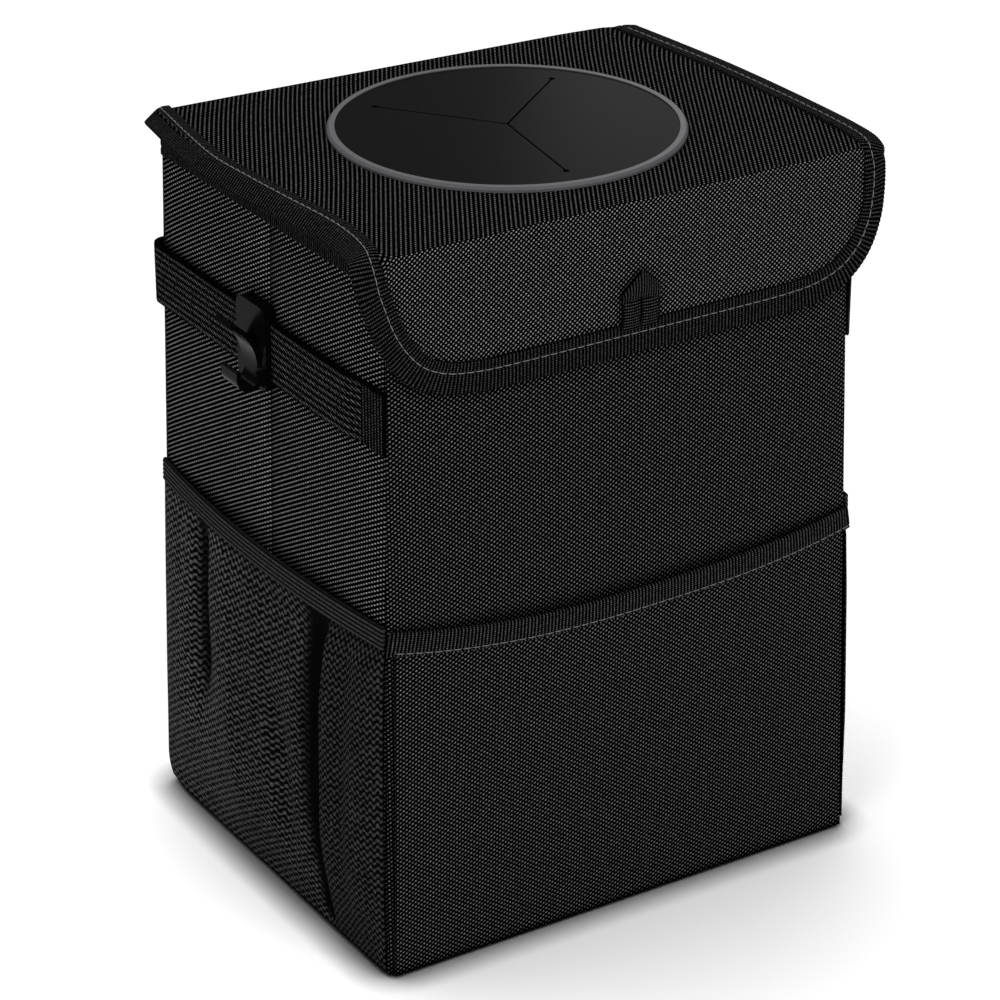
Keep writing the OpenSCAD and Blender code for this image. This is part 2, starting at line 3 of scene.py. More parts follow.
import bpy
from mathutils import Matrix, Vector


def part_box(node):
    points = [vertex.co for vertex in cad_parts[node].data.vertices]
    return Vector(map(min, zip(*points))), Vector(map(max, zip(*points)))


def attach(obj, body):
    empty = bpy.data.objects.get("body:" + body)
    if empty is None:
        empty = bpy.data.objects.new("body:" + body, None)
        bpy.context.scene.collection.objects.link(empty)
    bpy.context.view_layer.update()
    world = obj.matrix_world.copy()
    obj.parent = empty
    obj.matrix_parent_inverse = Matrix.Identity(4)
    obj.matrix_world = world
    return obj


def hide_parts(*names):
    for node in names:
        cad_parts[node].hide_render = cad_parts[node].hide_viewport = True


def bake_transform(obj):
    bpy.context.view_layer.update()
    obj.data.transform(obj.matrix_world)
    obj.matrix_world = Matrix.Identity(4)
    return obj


bl_info = {
    "name": "Lidded fabric car bin",
    "version": (1, 0, 0),
    "blender": (4, 5, 0),
    "location": "3D View > Sidebar > Fabric Bin",
    "description": "Sews the cloth, tapes, pockets and strap of the bin round its CAD frame",
    "category": "Object",
}

from contextlib import contextmanager
from math import cos, exp, pi, radians, sin, sqrt

import bmesh
import bpy
import numpy as np
from mathutils import Vector

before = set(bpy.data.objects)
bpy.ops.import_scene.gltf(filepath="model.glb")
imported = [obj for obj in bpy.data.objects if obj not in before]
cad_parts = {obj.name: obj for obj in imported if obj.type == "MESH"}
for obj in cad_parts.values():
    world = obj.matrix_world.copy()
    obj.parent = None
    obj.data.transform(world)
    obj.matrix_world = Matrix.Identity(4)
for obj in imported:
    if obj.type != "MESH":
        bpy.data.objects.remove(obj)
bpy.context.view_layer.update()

MM = 0.001

# Outside sizes of the body in millimetres, as part.scad has them
BASE_W, BASE_D = 213.0, 178.0
RIM_W, RIM_D = 199.5, 167.0
WALL_H = 286.0
# Radius at which the front and back cloth wraps round a corner, over its cord
WRAP = 1.25
# The side walls' cloth starts this far from a corner
CORNER_INSET = 1.9
PANEL_LOW, PANEL_HIGH = 0.45, 285.6
# Height of the seam under the rim's tape
RIM_SEAM = WALL_H - 13
# How far the back spreads at the rim, and how far its corners are pulled in at the base
BACK_SPREAD, CORNER_PULL = 2.0, 1.9
# Top of the lid's cloth, and the fold where it turns down into the flap
LID_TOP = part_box("lid_panel")[1].z / MM
CREASE_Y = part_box("lid_panel")[0].y / MM
HINGE_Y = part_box("lid_panel")[1].y / MM
FLAP_FACE_Y = CREASE_Y - 0.8
# The cloth bends between these depths when the lid turns up
HINGE_BACK, HINGE_FRONT = 84.5, 77.5
CLOTH_THICK, LID_CLOTH_THICK, FILM_THICK = 0.6, 0.7, 0.25
# Gap between the lockstitches, their length and the thread's thickness
STITCH_GAP, STITCH_LONG, THREAD = 0.5, 3.4, 0.42
STRAP_LOW, STRAP_HIGH = (c.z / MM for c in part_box("strap"))
RING_CENTRE = ((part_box("membrane_ring")[0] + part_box("membrane_ring")[1]) / 2) / MM

SIDES = ("front", "right", "back", "left")


def half_w(z):
    return (BASE_W + (RIM_W - BASE_W) * z / WALL_H) / 2


def half_d(z):
    return (BASE_D + (RIM_D - BASE_D) * z / WALL_H) / 2


def half_len(side, z):
    """Half the length of a side's wall at height z."""
    return half_w(z) if side in ("front", "back") else half_d(z)


def on_wall(side, u, z, out):
    """Point on a side wall: u to the right as seen from outside, out off the wall's face."""
    if side == "front":
        return (u, -half_d(z) - out, z)
    if side == "right":
        return (half_w(z) + out, u, z)
    if side == "back":
        return (-u, half_d(z) + out, z)
    return (-half_w(z) - out, -u, z)


def flared(point):
    """Point of the body after its back has spread a little at the rim and the back corners have
    been pulled in at the base, as sewn cloth does."""
    x, y, z = point
    near = smooth(abs(x), half_w(z) - 16, half_w(z)) * smooth(y, half_d(z) - 16, half_d(z))
    pull = CORNER_PULL * near * max(0.0, 1 - z / 14.0) ** 2
    x -= pull if x > 0 else -pull
    return (x, y - pull + BACK_SPREAD * z / WALL_H * smooth(y, 0, 84), z)


def smooth(x, low, high):
    """0 below low, 1 above high, and a soft step between them."""
    t = min(1.0, max(0.0, (x - low) / (high - low)))
    return t * t * (3 - 2 * t)


def ripple(x, y, seed):
    """Soft uneven waves from a few sines, the same on every run, about -1 to 1."""
    return (
        sin(1.0 * x + 0.7 * y + seed)
        + 0.6 * sin(-1.7 * x + 1.3 * y + 2.1 * seed)
        + 0.4 * sin(2.9 * x + 2.3 * y + 3.7 * seed)
    ) / 2


# Colours and nodes


def linear(code):
    """sRGB hex to the linear colour that Blender's sockets take."""
    parts = [int(code[i : i + 2], 16) / 255 for i in (1, 3, 5)]
    return tuple(c / 12.92 if c <= 0.04045 else ((c + 0.055) / 1.055) ** 2.4 for c in parts) + (1.0,)


def toned(code, share):
    """The hex colour made lighter or darker, its linear light times that share."""
    made = "#"
    for value in linear(code)[:3]:
        value = min(1.0, value * share)
        value = value * 12.92 if value <= 0.0031308 else 1.055 * value ** (1 / 2.4) - 0.055
        made += f"{round(value * 255):02x}"
    return made


def add(tree, kind, inputs=None, **settings):
    """Adds a shader node; inputs are values or sockets to link, settings are its own properties."""
    made = tree.nodes.new("ShaderNode" + kind)
    for name, value in settings.items():
        setattr(made, name, value)
    for name, value in (inputs or {}).items():
        if isinstance(value, bpy.types.NodeSocket):
            tree.links.new(value, made.inputs[name])
        else:
            made.inputs[name].default_value = value
    return made


def new_material(name, roughness, specular):
    """A Principled material and its tree and shader."""
    made = bpy.data.materials.new(name)
    made.use_nodes = True
    shader = made.node_tree.nodes["Principled BSDF"]
    shader.inputs["Roughness"].default_value = roughness
    shader.inputs["Specular IOR Level"].default_value = specular
    return made, made.node_tree, shader


def woven(name, specular=0.0, roughness=0.85):
    """A cloth's material, tree and shader, and its own coordinates in millimetres: both together,
    U along the piece and V across it."""
    made, tree, shader = new_material(name, roughness, specular)
    uv = add(tree, "UVMap", uv_map="weave").outputs[0]
    split = add(tree, "SeparateXYZ", {0: uv})
    return made, tree, shader, uv, split.outputs[0], split.outputs[1]


def slanting(tree, u, u_mm, v, v_mm):
    """Waves that far apart along U and along V; a negative distance slants them the other way."""
    part = add(tree, "Math", {0: v, 1: 2 * pi / v_mm}, operation="MULTIPLY").outputs[0]
    phase = add(tree, "Math", {0: u, 1: 2 * pi / u_mm, 2: part}, operation="MULTIPLY_ADD").outputs[0]
    return add(tree, "Math", {0: phase}, operation="COSINE").outputs[0]


def waves(tree, coordinate, pitch_mm):
    """Waves that far apart along one coordinate."""
    phase = add(tree, "Math", {0: coordinate, 1: 2 * pi / pitch_mm}, operation="MULTIPLY").outputs[0]
    return add(tree, "Math", {0: phase}, operation="COSINE").outputs[0]


def mixed(tree, first, share, second):
    """The share of the first, the rest of the second."""
    rest = add(tree, "Math", {0: second, 1: 1 - share}, operation="MULTIPLY").outputs[0]
    return add(tree, "Math", {0: first, 1: share, 2: rest}, operation="MULTIPLY_ADD").outputs[0]


def uneven_yarn(tree, uv, scale, low, high):
    """Brightness that changes from yarn to yarn."""
    inputs = {"Vector": uv, "Scale": scale, "Detail": 1.0}
    noise = add(tree, "TexNoise", inputs, noise_dimensions="2D")
    return add(tree, "MapRange", {0: noise.outputs[0], 1: 0.3, 2: 0.7, 3: low, 4: high}).outputs[0]


def cover(tree, shader, level, dark, light, height, bump_mm, strength):
    """Colours the surface from dark at level 0 to light at level 1, and raises it by its height."""
    inputs = {0: level, 6: linear(dark), 7: linear(light)}
    mix = add(tree, "Mix", inputs, data_type="RGBA", clamp_factor=False)
    tree.links.new(mix.outputs[2], shader.inputs["Base Color"])
    if bump_mm:
        bump = add(tree, "Bump", {"Strength": strength, "Distance": bump_mm * MM, "Height": height})
        tree.links.new(bump.outputs[0], shader.inputs["Normal"])


def shade(tree, shader, height, dark, light, low, high, bump_mm, uneven):
    """Colours the low parts dark and the high parts light, and raises them."""
    inputs = {0: height, 1: low, 2: high}
    level = add(tree, "MapRange", inputs, interpolation_type="SMOOTHSTEP").outputs[0]
    level = add(tree, "Math", {0: level, 1: uneven}, operation="MULTIPLY").outputs[0]
    # Hardly any light reaches the yarns beside an edge
    near = add(tree, "AmbientOcclusion", {"Distance": 6 * MM}, samples=4).outputs["AO"]
    near = add(tree, "Math", {0: near, 1: 1.5}, operation="POWER").outputs[0]
    level = add(tree, "Math", {0: level, 1: near}, operation="MULTIPLY").outputs[0]
    cover(tree, shader, level, dark, light, height, bump_mm, 0.6)


def oxford_cloth(name, warp_mm, weft_mm, light, creased=False):
    """Oxford polyester, plain woven from thick black yarn: grey floats in slanting rows.
    The pitches are the distance from one yarn to the next. Creased cloth has its colour scaled by its
    fold_light, which is painted light and shade."""
    made, tree, shader, uv, u, v = woven(name, roughness=0.9)
    rising = slanting(tree, u, 2 * warp_mm, v, -2 * weft_mm)
    falling = slanting(tree, u, 2 * warp_mm, v, 2 * weft_mm)
    # The floats lean, so the rows that rise to the right stand out
    height = mixed(tree, falling, 0.34, rising)
    uneven = uneven_yarn(tree, uv, 0.6, 0.6, 1.2)
    # Painted light and shade along the fold scales the colour
    if creased:
        fold = add(tree, "Attribute", attribute_name="fold_light").outputs["Fac"]
        fold = add(tree, "Math", {0: fold, 1: 1.0}, operation="ADD").outputs[0]
        uneven = add(tree, "Math", {0: uneven, 1: fold}, operation="MULTIPLY").outputs[0]
    shade(tree, shader, height, "#010101", light, 0.28, 1.0, 0.12, uneven)
    return made


def ribbed_tape(name, rib_mm, light):
    """Grosgrain polyester tape: ribs across it, crossed by yarns 0.9 mm apart."""
    made, tree, shader, uv, u, v = woven(name)
    height = mixed(tree, waves(tree, v, 0.9), 0.3, waves(tree, u, rib_mm))
    shade(tree, shader, height, "#020202", light, 0.1, 0.95, 0.12, uneven_yarn(tree, uv, 0.9, 0.4, 1.2))
    return made


def webbing_cloth(name, light, rib_mm=None):
    """Polypropylene webbing, woven in fine slanting ribs; its folded end shows upright ones."""
    made, tree, shader, uv, u, v = woven(name)
    if rib_mm:
        ribs, fine = waves(tree, u, rib_mm), waves(tree, v, 1.1)
    else:
        ribs, fine = slanting(tree, u, 2.992, v, -1.3659), waves(tree, v, 2.65)
    height = mixed(tree, fine, 0.4, ribs)
    # Painted shade: the band along its upper edge is darkened nearly to black
    edge = add(tree, "MapRange", {0: v, 1: 36.0, 2: 37.6, 3: 0.05, 4: 1.0}).outputs[0]
    uneven = uneven_yarn(tree, uv, 1.1, 0.1, 1.5)
    uneven = add(tree, "Math", {0: edge, 1: uneven}, operation="MULTIPLY").outputs[0]
    shade(tree, shader, height, "#020202", light, 0.1, 0.95, 0.12, uneven)
    return made


def knitted_mesh(name, light):
    """Warp-knitted polyester mesh: zigzag courses with a small hole in each angle."""
    made, tree, shader, uv, u, v = woven(name, 0.01)
    # The loops lie in columns, each half a course off the next, and none quite evenly
    column, course = 2.3, 3.3
    drift = uneven_yarn(tree, uv, 0.45, -0.4, 0.4)
    v = add(tree, "Math", {0: v, 1: drift}, operation="ADD").outputs[0]
    zigzag = add(tree, "Math", {0: u, 1: column}, operation="PINGPONG").outputs[0]
    courses = slanting(tree, zigzag, 2 * column, v, course)
    columns, rows = waves(tree, u, 2 * column), waves(tree, v, course)
    legs = add(tree, "Math", {0: columns, 1: rows}, operation="MULTIPLY").outputs[0]
    height = mixed(tree, legs, 0.72, courses)
    # Painted shade: darker in the gathers and towards the front
    fold = add(tree, "Attribute", attribute_name="painted_fold_shade").outputs["Fac"]
    unshaded_share = add(tree, "Math", {0: fold, 1: -1.0, 2: 1.0}, operation="MULTIPLY_ADD").outputs[0]
    uneven = uneven_yarn(tree, uv, 0.5, 0.7, 1.15)
    uneven = add(tree, "Math", {0: unshaded_share, 1: uneven}, operation="MULTIPLY").outputs[0]
    shade(tree, shader, height, "#030303", light, -0.3, 0.85, 0.3, uneven)
    return made


def elastic_knit(name, light):
    """Woven elastic: five rubber cords over the band's 9 mm, under fine black yarn."""
    made, tree, shader, uv, u, v = woven(name, 0.01)
    height = mixed(tree, waves(tree, u, 0.9), 0.25, waves(tree, v, 1.8))
    shade(tree, shader, height, "#050505", light, -0.6, 0.9, 0.15, uneven_yarn(tree, uv, 0.8, 0.6, 1.1))
    return made


def plain_finish(name, dark, light, roughness, specular, grain_mm, bump_mm=0.0):
    """A smooth moulded or coated surface with a fine grain."""
    made, tree, shader = new_material(name, roughness, specular)
    place = add(tree, "TexCoord").outputs["Object"]
    inputs = {"Vector": place, "Scale": 1 / (grain_mm * MM), "Detail": 2.0}
    noise = add(tree, "TexNoise", inputs).outputs[0]
    cover(tree, shader, noise, dark, light, noise, bump_mm, 0.4)
    return made


def finishes(look):
    """What makes each material, and its sizes in millimetres, colours and shine."""
    yarn, tape = look.yarn_light, look.tape_light
    return {
        # Oxford polyester. The side walls' shows a longer pitch than the front's. The side walls' and the
        # flap's copies are painted lighter and the lid's darker, as painted light and shade for how the lamps
        # fall on each face
        "oxford_cloth_body": (oxford_cloth, 1.24, 0.92, yarn),
        "oxford_cloth_sides": (oxford_cloth, 1.68, 0.95, toned(yarn, 1.9), True),
        "oxford_cloth_flap": (oxford_cloth, 1.04, 0.94, toned(yarn, 1.62)),
        "oxford_cloth_lid": (oxford_cloth, 1.04, 0.94, toned(yarn, 0.8)),
        # Grosgrain polyester; the pocket's copy is painted lighter, as painted light
        "grosgrain_tape": (ribbed_tape, look.rib_mm, tape),
        "grosgrain_tape_pocket": (ribbed_tape, look.rib_mm, toned(tape, 1.6)),
        "tab_ribbon": (ribbed_tape, 1.1, "#3c3c3e"),
        # Smooth black tape over the cords, with a soft sheen
        "piping_tape": (plain_finish, "#050505", "#0c0c0c", 0.8, 0.03, 1.0, 0.05),
        # Polyester sewing thread
        "polyester_thread": (plain_finish, look.thread, look.thread, 0.7, 0.05, 0.5),
        "knitted_mesh": (knitted_mesh, look.mesh_light),
        "elastic_band": (elastic_knit, "#343435"),
        "polypropylene_webbing": (webbing_cloth, "#4e4e4e"),
        "polypropylene_webbing_end": (webbing_cloth, "#404040", 2.1),
        # Nylon hook-and-loop tape
        "hook_and_loop_tape": (plain_finish, "#0a0a0a", "#1c1c1d", 0.95, 0.03, 0.6, 0.3),
        # Silicone rubber, moulded: a soft broad sheen
        "silicone_rubber": (plain_finish, "#050505", "#060606", 0.25, 0.014, 8.0, 0.01),
        # ABS, moulded with a satin face
        "abs_ring": (plain_finish, "#404042", "#474749", 0.4, 0.2, 1.5, 0.01),
        # Acetal, moulded black: gloss with thin highlights
        "acetal": (plain_finish, "#040404", "#060606", 0.2, 0.018, 4.0, 0.02),
        # PEVA film, heat-sealed: grey and faintly shiny; black behind the flap
        "peva_film": (plain_finish, "#5b5e62", "#66696d", 0.4, 0.45, 6.0, 0.15),
        "lining_film": (plain_finish, "#1c1d1f", "#242527", 0.6, 0.1, 3.0, 0.1),
        "polypropylene_board": (plain_finish, "#2b2b2c", "#303031", 0.6, 0.4, 2.0, 0.05),
    }


def finish(name, look):
    """The material of that name, made the first time it is asked for."""
    maker, *sizes = finishes(look)[name]
    return bpy.data.materials.get(name) or maker(name, *sizes)


# Meshes


@contextmanager
def reshaping(mesh):
    """Opens a mesh for bmesh and writes it back."""
    work = bmesh.new()
    work.from_mesh(mesh)
    yield work
    work.to_mesh(mesh)
    work.free()


def deselect():
    if bpy.context.object and bpy.context.object.mode != "OBJECT":
        bpy.ops.object.mode_set(mode="OBJECT")
    bpy.ops.object.select_all(action="DESELECT")


def cloth(name, columns, rows, place, measure, material, thick_mm=0.0, closed=False, offset=-1.0):
    """A cloth cut as a flat grid and laid in place. place(s, t) gives a point in millimetres and
    measure(s, t) the yarn coordinates there, for s and t from 0 to 1."""
    deselect()
    bpy.ops.mesh.primitive_grid_add(x_subdivisions=columns, y_subdivisions=rows, size=1.0)
    made = bpy.context.object
    made.name = made.data.name = name
    mesh = made.data
    flat = [(v.co.x + 0.5, v.co.y + 0.5) for v in mesh.vertices]
    spots = [place(s, t) for s, t in flat]
    mesh.vertices.foreach_set("co", np.array(spots, dtype=float).ravel() * MM)
    layer = mesh.uv_layers[0]
    layer.name = "weave"
    yarns = np.array([measure(s, t) for s, t in flat], dtype=float)
    index = np.zeros(len(mesh.loops), dtype=int)
    mesh.loops.foreach_get("vertex_index", index)
    layer.data.foreach_set("uv", yarns[index].ravel())
    if closed:
        with reshaping(mesh) as work:
            bmesh.ops.remove_doubles(work, verts=work.verts, dist=1e-5)
    mesh.materials.append(material)
    mesh.update()
    if thick_mm:
        thicken(made, thick_mm, offset)
    made.data.shade_smooth()
    return made


def thicken(made, thick_mm, offset=-1.0):
    """Gives a sheet its thickness: inward at offset -1, outward at 1 and both ways at 0."""
    bpy.context.view_layer.objects.active = made
    solid = made.modifiers.new("thickness", "SOLIDIFY")
    solid.thickness = thick_mm * MM
    solid.offset = offset
    solid.use_even_offset = False
    bpy.ops.object.modifier_apply(modifier=solid.name)


def cut_round(made, radius_mm):
    """Cuts the round hole for the membrane in a lid sheet that has no thickness yet."""
    middle, radius = RING_CENTRE.xy * MM, radius_mm * MM
    with reshaping(made.data) as work:
        inside = [face for face in work.faces if (face.calc_center_median().xy - middle).length < radius]
        bmesh.ops.delete(work, geom=inside, context="FACES")
        for vert in work.verts:
            away = vert.co.xy - middle
            if vert.is_boundary and away.length < radius + 8 * MM:
                vert.co.xy = middle + away.normalized() * radius


def split_behind(piece, name):
    """Cuts off what lies behind the hinge's front, as a piece of its own."""
    part = piece.copy()
    part.data = piece.data.copy()
    part.name = name
    bpy.context.collection.objects.link(part)
    depth = (HINGE_FRONT - 0.5) * MM
    for made, behind in ((piece, False), (part, True)):
        with reshaping(made.data) as work:
            gone = [face for face in work.faces if (face.calc_center_median().y > depth) != behind]
            bmesh.ops.delete(work, geom=gone, context="FACES")
    return part


def over_hinge(piece):
    """The piece, which crosses from the body to the lid, has its place baked into its points."""
    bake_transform(piece)


def evenly(wide, high):
    """Yarn coordinates for a piece of that size in millimetres that lies flat."""
    return lambda s, t: (wide * s, high * t)


def unit(rows):
    return rows / np.maximum(np.linalg.norm(rows, axis=1), 1e-9)[:, None]


def directions(points):
    """The direction of the line through the points, at each of them."""
    return unit(np.gradient(points, axis=0))


def run_along(points):
    """How far each point is from the first, along the line through them."""
    return np.concatenate([[0], np.cumsum(np.linalg.norm(np.diff(points, axis=0), axis=1))])


def curve_through(points, count):
    """count points evenly spaced on a smooth curve through the given rows of numbers."""
    knots = np.array(points, dtype=float)
    along = run_along(knots[:, :3])
    # Catmull-Rom tangents on uneven knots
    slope = np.zeros_like(knots)
    slope[1:-1] = (knots[2:] - knots[:-2]) / (along[2:] - along[:-2])[:, None]
    slope[0] = (knots[1] - knots[0]) / (along[1] - along[0])
    slope[-1] = (knots[-1] - knots[-2]) / (along[-1] - along[-2])

    def at(x):
        k = np.clip(np.searchsorted(along, x, side="right") - 1, 0, len(along) - 2)
        h = along[k + 1] - along[k]
        t = ((x - along[k]) / h)[:, None]
        return (
            (2 * t**3 - 3 * t**2 + 1) * knots[k]
            + (t**3 - 2 * t**2 + t) * h[:, None] * slope[k]
            + (-2 * t**3 + 3 * t**2) * knots[k + 1]
            + (t**3 - t**2) * h[:, None] * slope[k + 1]
        )

    fine = at(np.linspace(0, along[-1], count * 8))
    length = run_along(fine[:, :3])
    even = np.linspace(0, length[-1], count)
    return np.stack([np.interp(even, length, fine[:, i]) for i in range(fine.shape[1])], 1), length[-1]


def mark_points(piece, name, value):
    """Keeps value(x, y, z), for a place in millimetres, as an attribute of the piece's points."""
    marks = piece.data.attributes.new(name, "FLOAT", "POINT")
    for point, mark in zip(piece.data.vertices, marks.data):
        mark.value = value(*(point.co / MM))


def refinish(piece, material, there):
    """Another material where there(x, y, z), in millimetres, holds for a face's middle."""
    piece.data.materials.append(material)
    for face in piece.data.polygons:
        if there(*(face.center / MM)):
            face.material_index = 1


def from_points(name, points, faces, coords, material):
    """A mesh from points in millimetres, each with its yarn coordinates."""
    mesh = bpy.data.meshes.new(name)
    mesh.from_pydata((np.array(points) * MM).tolist(), [], faces)
    layer = mesh.uv_layers.new(name="weave")
    for loop in mesh.loops:
        layer.data[loop.index].uv = coords[loop.vertex_index]
    made = bpy.data.objects.new(name, mesh)
    bpy.context.collection.objects.link(made)
    with reshaping(mesh) as work:
        bmesh.ops.recalc_face_normals(work, faces=work.faces)
    mesh.materials.append(material)
    mesh.shade_smooth()
    return made


def tube_faces(base, count, around, ends=True):
    """Faces between rings of points numbered from base, with a face over either end."""
    faces = []
    for low in range(base, base + (count - 1) * around, around):
        for j in range(around):
            a, b = low + j, low + (j + 1) % around
            faces.append((a, b, b + around, a + around))
    if ends:
        faces.append(tuple(base + j for j in range(around - 1, -1, -1)))
        faces.append(tuple(base + (count - 1) * around + j for j in range(around)))
    return faces


def swept(name, rings, measure, material, ends=True):
    """A closed tube through rings of points in millimetres, each ring listed the same way round.
    measure(i, j) gives the yarn coordinates of point j of ring i."""
    count, around = rings.shape[:2]
    coords = [measure(i, j) for i in range(count) for j in range(around)]
    return from_points(name, rings.reshape(-1, 3), tube_faces(0, count, around, ends), coords, material)


def joined(name, pieces):
    """Several meshes joined into one object of that name."""
    deselect()
    for piece in pieces:
        piece.select_set(True)
    bpy.context.view_layer.objects.active = pieces[0]
    bpy.ops.object.join()
    made = bpy.context.object
    made.name = made.data.name = name
    return made


def stitches(name, line, ups, look):
    """A row of lockstitches laid along a line, each a short thread that dips at its ends."""
    length = run_along(line)
    pitch = STITCH_LONG + STITCH_GAP
    sides, rings = 6, 5
    verts, faces, coords = [], [], []

    def at(x, rows):
        return np.array([np.interp(x, length, rows[:, i]) for i in range(3)])

    for k in range(int(length[-1] / pitch)):
        faces += tube_faces(len(verts), rings, sides)
        for r in range(rings):
            x = k * pitch + STITCH_GAP / 2 + STITCH_LONG * r / (rings - 1)
            tangent = at(min(x + 0.3, length[-1]), line) - at(max(x - 0.3, 0), line)
            tangent /= np.linalg.norm(tangent)
            up = at(x, ups)
            up /= np.linalg.norm(up)
            across = np.cross(tangent, up)
            # The thread thins and dips into the cloth at either end
            lift, size = (-0.1, 0.275) if r in (0, rings - 1) else (0.5, 0.5)
            centre = at(x, line) + up * (THREAD * lift - 0.12)
            for j in range(sides):
                angle = 2 * pi * j / sides
                verts.append(centre + THREAD * size * (up * sin(angle) + across * cos(angle)))
                coords.append((x, j))
    return from_points(name, verts, faces, coords, finish("polyester_thread", look))


def fit(piece, body, nodes=()):
    """The piece moves with the body and stands for the CAD nodes, which it hides."""
    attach(piece, body)
    if nodes:
        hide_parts(*nodes)


# Body


def tuck(z):
    """How far the cloth turns in over the cord at its lower edge."""
    return 0.9 * (1 - smooth(z, 0.3, 2.4))


def risen(distance, reach):
    """0 at a seam and near 1 beyond its reach, as padded cloth rises."""
    return 1 - exp(-max(0.0, distance) / reach)


def wall_bulge(side, u, z, look):
    """How far the cloth stands off a wall's flat face: padded between its seams, creased in the
    middle of the two side walls."""
    span = half_len(side, z) - CORNER_INSET
    edge = risen(span - abs(u), 9.0)
    up = risen(z, 10.0) * risen(RIM_SEAM - z, 12.0)
    puckers = 0.1 * ripple(u / 7.0, z / 9.0, 1.0 + SIDES.index(side)) * edge
    full = look.wall_bulge_mm
    if side in ("left", "right"):
        # Two half panels meet in a valley fold, along which the wall folds in
        toward_back = u if side == "right" else -u
        full *= 1.45 * risen(abs(toward_back), 11.0 if toward_back > 0 else 4.0)
    return (full * edge + puckers) * up - tuck(z)


def body_ring(z, look):
    """Points round the body at height z, with the yarn coordinate of each. The front and back
    cloth wraps round the corners and meets the side walls' in a seam."""
    points, yarn = [], []
    run, per_side = 0.0, 44
    for side in SIDES:
        wraps = side in ("front", "back")
        half = half_len(side, z)
        span = half - (WRAP if wraps else CORNER_INSET)
        middle = run + half_len(side, 0)

        def corner(sign, side=side, half=half, middle=middle):
            """The wrapped corner, from the wall's face to the seam."""
            made = []
            tight, steps = WRAP - tuck(z) * 0.6, 6
            for k in range(1, steps + 1):
                angle = radians(96) * k / steps
                along = sign * (half - WRAP + tight * sin(angle))
                spot = on_wall(side, along, z, tight * cos(angle) - WRAP)
                made.append((spot, middle + sign * (half - WRAP + WRAP * angle)))
            spot = on_wall(side, sign * (half - 0.75), z, -CORNER_INSET + 0.1)
            return made + [(spot, middle + sign * (half + 1.6))]

        row = []
        if wraps:
            row += corner(-1)[::-1]
        for i in range(per_side + 1):
            u = 2 * i / per_side - 1
            if not wraps:
                # Closer together at the fold
                u *= abs(u) ** 0.6
            u *= span
            row.append((on_wall(side, u, z, wall_bulge(side, u, z, look)), middle + u))
        if wraps:
            row += corner(1)
        points += [flared(point) for point, _ in row]
        yarn += [value for _, value in row]
        run = middle + half_len(side, 0)
    points.append(points[0])
    yarn.append(yarn[-1] + 0.5)
    return points, yarn


def length_setting(name, description, default, low, high):
    said = description + ", in millimetres"
    return bpy.props.FloatProperty(name=name, description=said, default=default, min=low, max=high)


def colour_setting(name, description, default):
    return bpy.props.StringProperty(name=name, description="Hex colour of " + description, default=default)


class BIN_PG_look(bpy.types.PropertyGroup):
    """Sizes and colours that a user may change."""

    wall_bulge_mm: length_setting("Wall bulge", "How far the cloth stands off its boards", 1.3, 0.0, 4.0)
    pocket_slack_mm: length_setting("Pocket slack", "How far the pocket stands off the wall", 4.6, 1.0, 9.0)
    mesh_fullness_mm: length_setting("Mesh fullness", "How far the mesh stands off the wall", 10.0, 4.0, 14.0)
    rib_mm: length_setting("Tape rib pitch", "Distance between the ribs of the binding tape", 1.5, 0.8, 3.0)
    yarn_light: colour_setting("Yarn floats", "the yarn that lies on top", "#5f5f5f")
    tape_light: colour_setting("Tape ribs", "the tape's ribs", "#373737")
    mesh_light: colour_setting("Mesh threads", "the mesh's threads", "#4a4a4a")
    thread: colour_setting("Sewing thread", "the visible stitches", "#5c5c5e")


class BinOperator:
    """Common to the bin's operators."""

    bl_options = {"REGISTER", "UNDO"}

    def execute(self, context):
        self.make(context.scene.bin_look)
        return {"FINISHED"}


